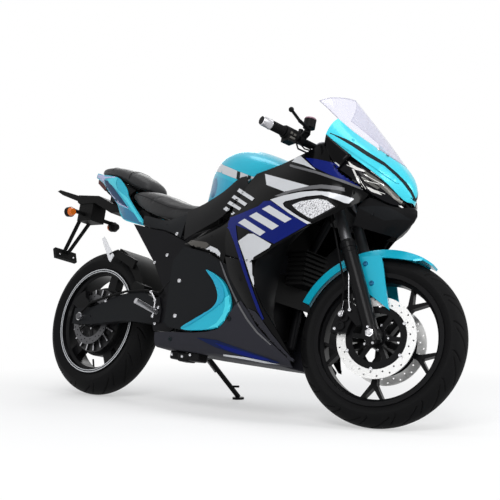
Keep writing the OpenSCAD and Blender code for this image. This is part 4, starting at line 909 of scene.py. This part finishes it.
banjo.append(tube([HOSE_END + Vector((0, 0, 8)), HOSE_END + Vector((1, 3, 46))], 4.6))
banjo += [tube(BRAKE_PIPE, 2.6), bolt(PIPE_END, ACROSS, 7)]
make("brake_fittings", both(banjo), "steel", "fork")

# Fork legs: dust seals, caps and the bar's fittings
SEAL = [(26, 0), (27.5, 3), (27.5, 9), (24, 13), (20.8, 14), (20.8, 0)]
SEAL_CLIP = [(26.6, 0), (27.4, 1), (27.4, 4), (26.6, 5)]
seals = [lathe(fork_at(338), STEER_DIR, SEAL, 32), lathe(fork_at(300), STEER_DIR, SEAL_CLIP, 32)]
make("dust_seals", both(seals), "black_satin", "fork")
caps = [lathe(fork_at(752), STEER_DIR, [(20, 0), (20, 3), (17, 5), (0, 5)], 32)]
caps.append(hex_nut(fork_at(757), STEER_DIR, 11, 6))
make("fork_caps", both(caps), "alloy", "fork")
make("stem_nut", [hex_nut(STEER_P + 714 * STEER_DIR, STEER_DIR, 18, 12)], "alloy", "fork")

BAR_IN = fork_at(729)
BAR_OUT = Vector((272, 348, 966))
BAR_RUN = (BAR_OUT - BAR_IN).normalized()
RIB_Y = range(268, 308, 5)
RIB = [(16.6, -1.6), (17.9, -0.8), (17.9, 0.8), (16.6, 1.6)]
GRIP_FLANGE = [(16.9, 0), (20.5, 1), (20.5, 4), (17, 6)]
BAR_SLEEVE = [(16.8, 0), (19, 1.2), (19, 5), (18.2, 6), (17.2, 38), (15.4, 40), (13, 41)]
BAR_CAP = [(14.4, 0), (13.6, 2.4), (10, 4), (0, 4.4)]
KEYS = [((-26, -13, -8), (-19, -4, 2)), ((-26, 2, -10), (-19, 12, -2)), ((-25, -12, -24), (-19, 10, -16))]
UP_AXIS = Vector((0, 0, 1))
RESERVOIR, LEVER_PIVOT = Vector((386, 203, 1031)), (382, 202, 992.5)
RESERVOIR_LID = [(21, 0), (22.6, 0.8), (22.6, 4), (21, 6), (0, 6)]


def on_bar(y):
    return BAR_IN + (BAR_OUT - BAR_IN) * ((y - BAR_IN.y) / (BAR_OUT.y - BAR_IN.y))


ribs = [lathe(on_bar(y), BAR_RUN, RIB, 24) for y in RIB_Y]
ribs.append(lathe(on_bar(260.5), BAR_RUN, GRIP_FLANGE, 28))
make("grip_ribs", both(ribs), "rubber", "fork")
make("bar_collars", both([lathe(on_bar(311), BAR_RUN, BAR_SLEEVE, 32)]), "alloy", "fork")
make("bar_caps", both([lathe(on_bar(342), BAR_RUN, BAR_CAP, 28)]), "black_satin", "fork")
bar_turn = math.atan2(BAR_OUT.x - BAR_IN.x, BAR_IN.y - BAR_OUT.y)
SWITCH = Matrix.Translation(on_bar(235)) @ Matrix.Rotation(bar_turn, 4, "Z")
keys = [moved(crate(low, high), SWITCH) for low, high in KEYS]
make("switch_keys", both(keys), "warm_grey", "fork", edge=1.2)
make("reservoir_lids", both([lathe(RESERVOIR, UP_AXIS, RESERVOIR_LID, 32)]), "red_cap", "fork")
lid_screws = [bolt(RESERVOIR + Vector((12 * s, 12 * s, 6)), UP_AXIS, 3) for s in (-1, 1)]
make("lid_screws", both(lid_screws), "steel", "fork")
long_line = [on_bar(222) + Vector((14, 0, -18)), (352, 192, 926), (384, 156, 920), (418, 122, 926)]
short_line = [on_bar(206) + Vector((8, 0, -14)), (372, 180, 930), (404, 140, 934), (432, 108, 934)]
make("bar_cables", both([tube(long_line, 3.2), tube(short_line, 2.8)]), "rubber", "fork")
make("lever_pivots", both([bolt(LEVER_PIVOT, UP_AXIS, 6)]), "steel", "fork")

# Screen: a rolled edge
SCREEN_EDGE = [(511, 142, 1065), (456, 130, 1112), (394, 108, 1160), (422, 86, 1176), (447, 58, 1184),
               (468, 28, 1188), (478, 0, 1190)]
RIM_DROP, RIM_R = 1.8, 1.7
half = [Vector((x, y, z - RIM_DROP)) for x, y, z in SCREEN_EDGE]
rim = half + [Vector((p.x, -p.y, p.z)) for p in reversed(half[:-1])]
make("screen_rim", [tube(rim, RIM_R, 8)], "screen_edge")

# Display behind the screen, and its row of bars
DASH = Matrix.Translation((524, 0, 938)) @ Matrix.Rotation(math.radians(-28), 4, "Y")
DASH_BARS, DASH_PITCH, DASH_GROWTH = 12, 9, 2.2
make("dash_bezel", [moved(crate((-18, -76, 6), (-14.2, 76, 70)), DASH)], "black_satin", edge=1.5)
make("dash_display", [moved(crate((-19, -66, 14), (-17, 66, 62)), DASH)], "display", edge=0.6)
marks = []
for k in range(DASH_BARS):
    y = -58 + DASH_PITCH * k
    marks.append(moved(crate((-19.6, y, 20), (-19, y + 6, 22 + DASH_GROWTH * k)), DASH))
make("dash_bars", marks, "light_cyan")

# Liners behind the front wheel and the side panels, gussets at the swingarm's pivot, lumps under the belly
SEAT_LINER = [(-255, 650), (-90, 622), (60, 690), (60, 770), (-40, 745), (-140, 722), (-255, 712)]
TAIL_LINER = [(-500, 772), (-470, 786), (-425, 766), (-395, 735), (-430, 726)]
KNEE_LINER = [(-30, 690), (110, 745), (110, 780), (-30, 742)]
GUSSET = [(-305, 366), (-205, 366), (-205, 470), (-262, 452)]
LUMPS = [((-40, -150, 162), (20, -96, 196)), ((-86, -152, 158), (-34, -100, 192)),
         ((-140, -140, 166), (-92, -96, 198))]
LUMP_FACE, LUMP_BOLTS = -152, ((-60, 176), (-20, 184), (-116, 182))
make("inner_liner", [crate((306, -112, 400), (309, 112, 740))], "black_plastic", edge=1)
liners = [slab(SEAT_LINER, 100, 103), slab(TAIL_LINER, 100, 103), slab(KNEE_LINER, 156, 159)]
make("side_liners", both(liners), "black_plastic", edge=1)
make("pivot_gussets", both([slab(GUSSET, 108, 112)]), "frame_black", edge=1)
make("under_lumps", [crate(low, high) for low, high in LUMPS], "black_satin", edge=6)
make("lump_bolts", [bolt((x, LUMP_FACE, z), -ACROSS, 6) for x, z in LUMP_BOLTS], "steel")

# Side stand: its spring, and the pins that the spring hangs on
STAND_PIVOT, STAND_FOOT = Vector((-190, 112, 222)), Vector((-125, 283, 61.7))
STAND_RUN = (STAND_FOOT - STAND_PIVOT).normalized()
STAND_SIDE = Vector((-1, 0, 0))
SPRING_LOOPS, LOOP_POINTS, SPRING_R, SPRING_WIRE = 16, 12, 5, 1.3
SPRING_TOP = STAND_PIVOT + STAND_RUN * 22 + STAND_SIDE * 17
SPRING_FOOT = STAND_PIVOT + STAND_RUN * 98 + STAND_SIDE * 15
across = STAND_RUN.cross(STAND_SIDE).normalized()
coil = []
for k in range(SPRING_LOOPS * LOOP_POINTS + 1):
    a = 2 * math.pi * k / LOOP_POINTS
    centre = SPRING_TOP.lerp(SPRING_FOOT, k / (SPRING_LOOPS * LOOP_POINTS))
    coil.append(centre + SPRING_R * (math.cos(a) * STAND_SIDE + math.sin(a) * across))
make("stand_spring", [tube(coil, SPRING_WIRE, 6)], "dark_steel", "side_stand")
pins = [tube([p + STAND_SIDE * 2, p - STAND_SIDE * 17], 3) for p in (SPRING_TOP, SPRING_FOOT)]
make("stand_pins", pins, "steel", "side_stand")

# Rear end: reflector, foot linkage, the motor's cable, hanger straps, plate bolts and indicators
REFLECTOR = [(-697, 664), (-684, 676), (-602, 590), (-617, 560), (-630, 570)]
REFLECTOR_ARM = [(-586, -94, 612), (-604, -97, 606), (-628, -99, 596)]
LINKAGE = [(-262, 172, 418), (-232, 172, 384), (-232, 172, 322)]
CABLE = [(-695, -148, 330), (-640, -152, 372), (-560, -148, 396), (-440, -146, 424), (-330, -144, 430),
         (-240, -146, 418), (-190, -146, 470)]
STRAP_TOP, STRAP_END = Vector((-958, 30, 790)), Vector((-1056, 12, 640))
STRAP_WIDE, STRAP_THICK = 19, 6
HOLDER = Matrix.Translation((-1062, 0, 622)) @ Matrix.Rotation(math.radians(-24), 4, "Y")
FORWARD = Vector((1, 0, 0))
BEZEL = [(21, 0), (23.2, 0.5), (23.2, 4), (21.4, 5)]
REAR_LENS = [(21, 0), (20, 8), (16, 15), (8, 19), (0, 20)]
FOOTREST_ROOT = 159


def thirds(points):
    """The points with two more on each straight between them."""
    points = [Vector(p) for p in points]
    return [a.lerp(b, k / 3) for a, b in zip(points, points[1:]) for k in range(3)] + points[-1:]


def strap(p, q, width, thick):
    """A flat bar between two points, its width across the bike."""
    run = (q - p).normalized()
    side = (ACROSS - run * run.y).normalized() * width / 2
    face = run.cross(side).normalized() * thick / 2
    corners = [side + face, side - face, -side - face, -side + face]
    verts = [p + c for c in corners] + [q + c for c in corners]
    faces = [(0, 1, 2, 3), (7, 6, 5, 4)] + [(k, k + 4, (k + 1) % 4 + 4, (k + 1) % 4) for k in range(4)]
    return verts, faces


make("reflector", [slab(REFLECTOR, -103, -99)], "clear_lens", edge=1)
make("reflector_arm", [tube(REFLECTOR_ARM, 6)], "black_satin")
rods = [tube(ends, 3.4) for ends in zip(LINKAGE, LINKAGE[1:])]
make("foot_linkage", both(rods + [bolt(p, ACROSS, 7) for p in LINKAGE]), "steel")
make("motor_cable", [tube(thirds(CABLE), 5)], "rubber")
straps = [strap(STRAP_TOP, STRAP_END, STRAP_WIDE, STRAP_THICK)]
make("hanger_straps", both(straps), "black_satin", edge=1)
make("plate_bolts", [moved(bolt((9, 40 * s, -6), FORWARD, 5), HOLDER) for s in (-1, 1)], "steel")
make("indicator_bezels", both([lathe((-908, 134, 790), FORWARD, BEZEL, 32)]), "black_plastic")
make("rear_facing_lens", [lathe((-925, 134, 790), -FORWARD, REAR_LENS, 32)], "orange_lens")
two_tone("indicator_lenses", "black_plastic", lambda p: p.y > 0)
two_tone("footrests", "frame_black", lambda p: abs(p.y) < FOOTREST_ROOT)

# Seats: sewn seams. Rows of x, half width, middle and top for the pillion, of x, half width, z for the rider
PILLION_SEAM = [(-735, 77, 987, 1014), (-610, 85, 938, 987)]
RIDER_SEAM = [(-530, 94, 861), (-490, 108, 850), (-430, 120, 832), (-360, 124, 806), (-294, 118, 784),
              (-240, 102, 776), (-190, 84, 776)]
SEAM_R, SEAM_STEPS, SEAM_BULGE = 1.3, 24, 0.8
SEAM_OUT, SEAM_UP, RIDER_OUT = 0.5, 0.8, 1
seams = []
for x, w, z_mid, z_top in PILLION_SEAM:
    points = []
    for k in range(SEAM_STEPS + 1):
        c, s = math.cos(math.pi * k / SEAM_STEPS), math.sin(math.pi * k / SEAM_STEPS)
        y = math.copysign(abs(c) ** SEAM_BULGE, c) * (w + SEAM_OUT)
        points.append(Vector((x, y, z_mid + (z_top - z_mid + SEAM_UP) * s**SEAM_BULGE)))
    seams.append(tube(points, SEAM_R, 6))
seams += both([tube([(x, w + RIDER_OUT, z) for x, w, z in RIDER_SEAM], SEAM_R, 6)])
make("seat_seams", seams, "thread")

# Cushions: the seats puffed up as cloth over their foam. Held at the base up to a height, then let go, in mm
RIDER_BASE = [(-566, 852), (-536, 834), (-490, 804), (-430, 776), (-360, 752), (-294, 735), (-240, 738),
              (-136, 762)]
PILLION_BASE = [(-842, 990), (-810, 983), (-750, 969), (-687, 953), (-620, 921), (-560, 899), (-496, 884)]
HELD_TO, LET_GO_OVER = 10, 14
CLOTH_GRAIN = 5
PUFF_LIMIT = 6
PUFF_FRAMES = 20
FOAM = {"quality": 5, "mass": 0.3, "vertex_group_mass": "held"}
FOAM |= {"tension_stiffness": 12, "compression_stiffness": 12, "bending_stiffness": 4}
FOAM |= {"use_pressure": True, "uniform_pressure_force": 4}


def puff(piece):
    cloth = piece.modifiers.new("foam", "CLOTH")
    for setting, value in FOAM.items():
        setattr(cloth.settings, setting, value)
    cloth.settings.effector_weights.gravity = 0
    cloth.collision_settings.use_collision = False
    cloth.point_cache.frame_start, cloth.point_cache.frame_end = 1, PUFF_FRAMES
    for number in range(1, PUFF_FRAMES + 1):
        bpy.context.scene.frame_set(number)
    bpy.ops.object.modifier_apply(modifier="foam")
    bpy.context.scene.frame_set(1)


def cushion(name, node, base):
    """A seat puffed up above its base, a line of (x, z) points."""
    data = CAD[node].data.copy()
    data.name = name
    piece = put(name, data)
    edit(data, lambda work: bmesh.ops.remove_doubles(work, verts=work.verts, dist=JOIN_GAP))
    bpy.context.view_layer.objects.active = piece
    modifier(piece, "grain", "REMESH", mode="VOXEL", voxel_size=CLOTH_GRAIN * MM)
    bpy.ops.object.modifier_apply(modifier="grain")
    modifier(piece, "even", "SMOOTH", factor=0.5, iterations=6)
    bpy.ops.object.modifier_apply(modifier="even")
    rest = [v.co.copy() for v in piece.data.vertices]
    back = BIKE.inverted()
    xs, zs = zip(*base)
    pinned = piece.vertex_groups.new(name="held")
    for k, p in enumerate(rest):
        at = back @ p
        height = at.z - float(np.interp(at.x, xs, zs))
        pinned.add([k], min(1, max(0, 1 - (height - HELD_TO) / LET_GO_OVER)), "REPLACE")
    puff(piece)
    limit = PUFF_LIMIT * MM
    for v, p in zip(piece.data.vertices, rest):
        step = v.co - p
        if step.length > limit:
            v.co = p + step.normalized() * limit
    piece.vertex_groups.clear()
    piece.data.materials.clear()
    piece.data.materials.append(MATS["vinyl"])
    piece.data.shade_smooth()
    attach(piece, "chassis")
    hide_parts(node)


cushion("rider_cushion", "rider_seat", RIDER_BASE)
cushion("pillion_cushion", "pillion_seat", PILLION_BASE)

# Bolts set on the pieces where the photo shows them: pixel, CAD pieces, radius in mm
BOLTS = {
    0: (167.8, 255.4, "main_frame", 8),
    1: (177.5, 234.2, "main_frame+seat_sides+spar_covers", 8),
    4: (155.1, 262.7, "main_frame+hugger+swingarm", 7),
    5: (180.0, 280.9, "side_covers", 9),
    6: (175.7, 316.0, "side_covers+main_frame", 9),
    8: (158.8, 307.5, "main_frame+swingarm+footrests", 8),
    9: (155.5, 323.5, "main_frame+swingarm+belly_pan", 8),
    10: (106.0, 300.9, "swingarm+rear_caliper", 7),
    11: (91.5, 298.4, "rear_caliper+swingarm", 7),
    12: (365.5, 263.7, "front_fender", 9),
    13: (371.6, 283.1, "front_fender", 9),
    14: (229.0, 318.5, "belly_pan+side_covers", 9),
    15: (170.3, 339.0, "belly_pan+side_covers", 8),
    17: (378.5, 149.7, "nose_cowl", 6),
}
# Bolts that aren't bare steel, by the pieces they are on. Those on the belly pan are dark heads that stand
# for holes in it, with the shade inside the holes painted on them.
BOLT_LOOKS = {"front_fender": "teal_paint", "belly_pan+side_covers": "gap_dark"}
for number, (u, v, nodes, r) in BOLTS.items():
    body = "fork" if nodes == "front_fender" else "chassis"
    place, normal, _ = on_panel(nodes.split("+"), u, v)
    back = SPACES[body].inverted()
    shape = bolt(back @ place, back.to_3x3() @ normal, r)
    make(f"bolt_{number}", both([shape]), BOLT_LOOKS.get(nodes, "steel"), body)

# Floor, light and camera, in metres
FLOOR_REACH, FLOOR_DROP = 60, -0.001
FADE_START, FADE_END, FADE_LEAST = 0.7, 1.9, 0.45
FILL_COLOUR, FILL_STRENGTH = (0.92, 0.95, 1.0, 1), 0.34
WHITE = (1, 1, 1, 1)


def seen_rays(nodes):
    """A node that is 1 for rays that see the backdrop: from the camera, in a reflection or through glass."""
    rays = nodes.new("ShaderNodeLightPath")
    found, output = rays, "Is Camera Ray"
    for kind in ("Is Glossy Ray", "Is Transmission Ray"):
        either = nodes.new("ShaderNodeMath")
        either.operation = "MAXIMUM"
        wire(found, output, either, 0)
        wire(rays, kind, either, 1)
        found, output = either, 0
    return found


def mixed(nodes, share, first, second, output):
    """Sends a mix of two shaders to the output."""
    mix = nodes.new("ShaderNodeMixShader")
    for number, source in enumerate((share, first, second)):
        wire(source, 0, mix, number)
    wire(mix, 0, nodes[output], "Surface")


def floor_finish():
    """Pale floor that fades into the white backdrop away from the bike."""
    mat = finish("pale_floor", (0.90, 0.90, 0.90), 0.8, 0, 0.01, 3, 0.01, {"Specular IOR Level": 0.1})
    nodes = mat.node_tree.nodes
    far = nodes.new("ShaderNodeVectorMath")
    far.operation = "LENGTH"
    span = add(nodes, "ShaderNodeMapRange", From_Min=FADE_START, From_Max=FADE_END, To_Min=FADE_LEAST)
    share = nodes.new("ShaderNodeMath")
    share.operation = "MULTIPLY"
    wire(nodes["Texture Coordinate"], "Object", far, 0)
    wire(far, "Value", span, "Value")
    wire(span, "Result", share, 0)
    wire(seen_rays(nodes), 0, share, 1)
    glow = nodes.new("ShaderNodeEmission")
    mixed(nodes, share, nodes["Principled BSDF"], glow, "Material Output")
    return mat


def softbox(name, place, aim, size, power):
    data = bpy.data.lights.new(name, "AREA")
    data.shape = "RECTANGLE"
    data.size, data.size_y = size
    data.energy = power
    lamp = put(name, data)
    lamp.location = place
    lamp.rotation_mode = "QUATERNION"
    lamp.rotation_quaternion = (Vector(aim) - Vector(place)).to_track_quat("-Z", "Y")


floor = put("floor", bpy.data.meshes.new("floor"))
corners = [(x * FLOOR_REACH, y * FLOOR_REACH, FLOOR_DROP) for x, y in ((-1, -1), (1, -1), (1, 1), (-1, 1))]
floor.data.from_pydata(corners, [], [(0, 1, 2, 3)])
floor.data.materials.append(floor_finish())

softbox("key", (2.0, -3.0, 3.2), (0, 0, 0.6), (2.2, 1.4), 95)
softbox("top", (0, 0.2, 3.6), (0, 0, 0.5), (3.4, 1.2), 42)
softbox("rim", (-2.6, 2.4, 2.4), (0, 0, 0.7), (1.4, 1.6), 22)
softbox("front", (3.6, 0.6, 1.7), (0.6, 0, 0.7), (0.9, 2.0), 45)
softbox("low", (0.4, -3.8, 0.9), (0, 0, 0.45), (3.2, 0.35), 22)

world = bpy.data.worlds.new("studio")
world.use_nodes = True
bpy.context.scene.world = world
nodes = world.node_tree.nodes
fill = nodes["Background"]
fill.inputs["Color"].default_value = FILL_COLOUR
fill.inputs["Strength"].default_value = FILL_STRENGTH
white = add(nodes, "ShaderNodeBackground", Color=WHITE)
mixed(nodes, seen_rays(nodes), fill, white, "World Output")

camera = put("camera", bpy.data.cameras.new("camera"))
camera.data.sensor_width = SENSOR
camera.data.lens = FOCAL_PX / PHOTO_SIZE * SENSOR
camera.location = EYE
camera.rotation_mode = "QUATERNION"
camera.rotation_quaternion = LOOK.to_track_quat("-Z", "Y")
bpy.context.scene.camera = camera
bpy.context.scene.view_settings.view_transform = "Standard"
